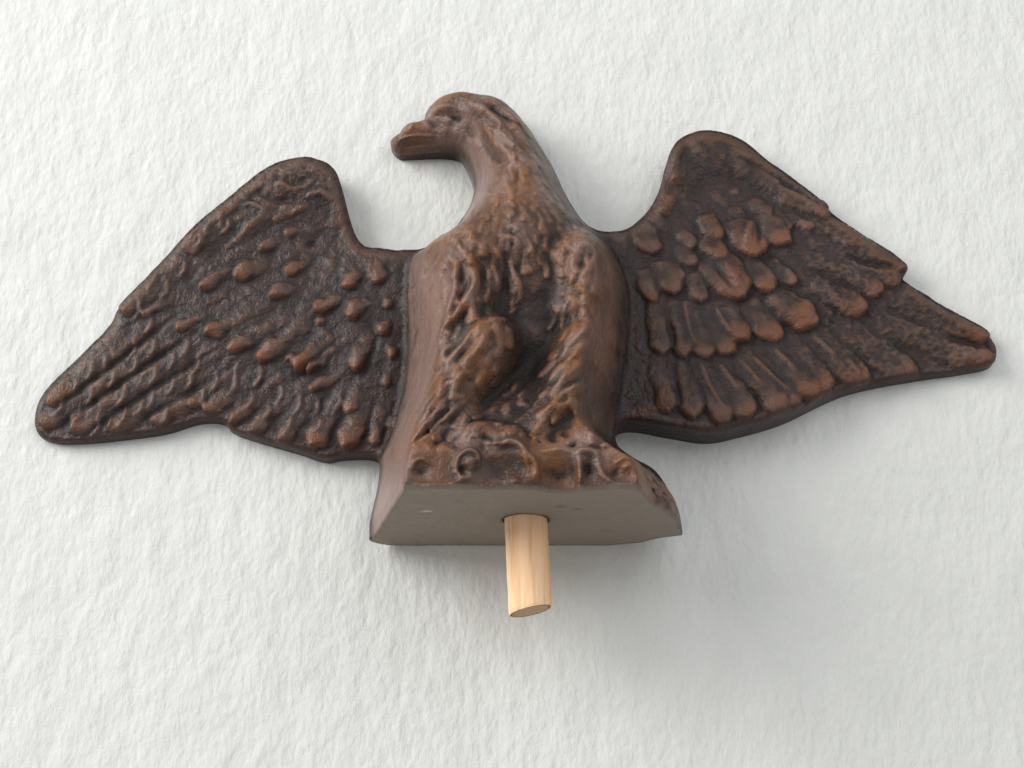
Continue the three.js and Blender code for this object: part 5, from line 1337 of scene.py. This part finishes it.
# %% [markdown]
# ## The dowel's wood
# Bare light hardwood: long fine streaks down its length, a little darker along some of them, and a
# dull brown sawn end. The streaks are noise that is squeezed across and stretched along.

# %% Dowel wood
WOOD_PALE = linear(250, 208, 166)
WOOD_TAN = linear(238, 188, 142)
WOOD_PORES = linear(176, 118, 76)
WOOD_SAWN = linear(150, 118, 88)
wood, tree, shader, place_socket = new_material("dowel_wood")
streak_place = stretched(tree, place_socket, (900.0, 900.0, 45.0))
streaks = noise(tree, streak_place, scale=1.0, detail=5.0)
wide_place = stretched(tree, place_socket, (260.0, 260.0, 18.0))
wide_streaks = noise(tree, wide_place, scale=1.0, detail=2.0)
wood_grain = grain_node(tree, streak_place, size=1.6, pits=0.3)
sawn_mask = attribute(tree, "sawn")
colour = mixed(tree, ramp(tree, wide_streaks, 0.3, 0.7), WOOD_PALE, WOOD_TAN)
colour = mixed(tree, maths(tree, "MULTIPLY", ramp(tree, streaks, 0.5, 0.75), 0.4), colour, WOOD_PORES)
colour = mixed(tree, maths(tree, "MULTIPLY", sawn_mask, 0.75), colour, WOOD_SAWN)
tree.links.new(colour, shader.inputs["Base Color"])
tree.links.new(maths(tree, "ADD", 0.55, maths(tree, "MULTIPLY", streaks, 0.2)), shader.inputs["Roughness"])
add_bumps(tree, shader, wood_grain.outputs["Height"], strength=0.3, distance=0.0002)
dowel.data.materials.append(wood)

# %% [markdown]
# ## Floor and light
# The ornament lay on its back, so the floor is the upright plane behind it. It is seen from the front
# only: from behind it lets the camera through, and it casts no shadow, so the flat back can be looked
# at too. A large soft lamp stands up and to the left, a weak one opposite, and one behind.

# %% Floor
FLOOR_Y = 21.3
FLOOR_HALF = 1500.0
FLOOR_PALE = linear(212, 213, 209)
FLOOR_GREYER = linear(200, 201, 197)
floor_points = np.array([(-FLOOR_HALF, FLOOR_Y, -FLOOR_HALF), (FLOOR_HALF, FLOOR_Y, -FLOOR_HALF),
                         (FLOOR_HALF, FLOOR_Y, FLOOR_HALF), (-FLOOR_HALF, FLOOR_Y, FLOOR_HALF)])
floor = new_piece("floor", floor_points, np.array([(0, 1, 2), (0, 2, 3)]), {})
paper, tree, shader, place_socket = new_material("pale_floor")
floor_grain = grain_node(tree, stretched(tree, place_socket, (1.0, 1.0, 0.55)), size=620.0, pits=0.1)
tree.links.new(mixed(tree, floor_grain.outputs["Mottle"], FLOOR_PALE, FLOOR_GREYER),
               shader.inputs["Base Color"])
shader.inputs["Roughness"].default_value = 0.85
add_bumps(tree, shader, floor_grain.outputs["Height"], strength=0.6, distance=0.001)
clear = tree.nodes.new("ShaderNodeBsdfTransparent")
either = tree.nodes.new("ShaderNodeMixShader")
tree.links.new(tree.nodes.new("ShaderNodeNewGeometry").outputs["Backfacing"], either.inputs[0])
tree.links.new(shader.outputs[0], either.inputs[1])
tree.links.new(clear.outputs[0], either.inputs[2])
paper_output = next(node for node in tree.nodes if node.type == "OUTPUT_MATERIAL")
tree.links.new(either.outputs[0], paper_output.inputs["Surface"])
floor.data.materials.append(paper)
floor.visible_shadow = False


# %% Lamps and sky
def add_lamp(name, place_mm, target_mm, size_mm, watts, colour):
    """A square lamp at a place, turned to a target."""
    data = bpy.data.lights.new(name, "AREA")
    data.size = size_mm * MM
    data.energy = watts
    data.color = colour
    lamp = bpy.data.objects.new(name, data)
    lamp.location = [value * MM for value in place_mm]
    towards = np.array(target_mm, float) - np.array(place_mm, float)
    lamp.rotation_euler = (math.acos(-towards[2] / np.linalg.norm(towards)), 0,
                           math.atan2(towards[1], towards[0]) - math.pi / 2)
    bpy.context.collection.objects.link(lamp)
    return lamp


EAGLE_MIDDLE = (0, 0, 55)
add_lamp("window", (-950, -520, 500), EAGLE_MIDDLE, size_mm=750, watts=18.5, colour=(1.0, 0.99, 0.97))
add_lamp("fill", (500, -900, 500), EAGLE_MIDDLE, size_mm=900, watts=5.0, colour=(0.97, 0.98, 1.0))
add_lamp("behind", (-300, 700, 400), EAGLE_MIDDLE, size_mm=500, watts=8.0, colour=(1.0, 1.0, 1.0))
world = bpy.data.worlds.new("sky")
world.use_nodes = True
world.node_tree.nodes["Background"].inputs[0].default_value = (0.98, 0.99, 1.0, 1.0)
world.node_tree.nodes["Background"].inputs[1].default_value = 0.5
bpy.context.scene.world = world
bpy.context.scene.view_settings.view_transform = "Standard"
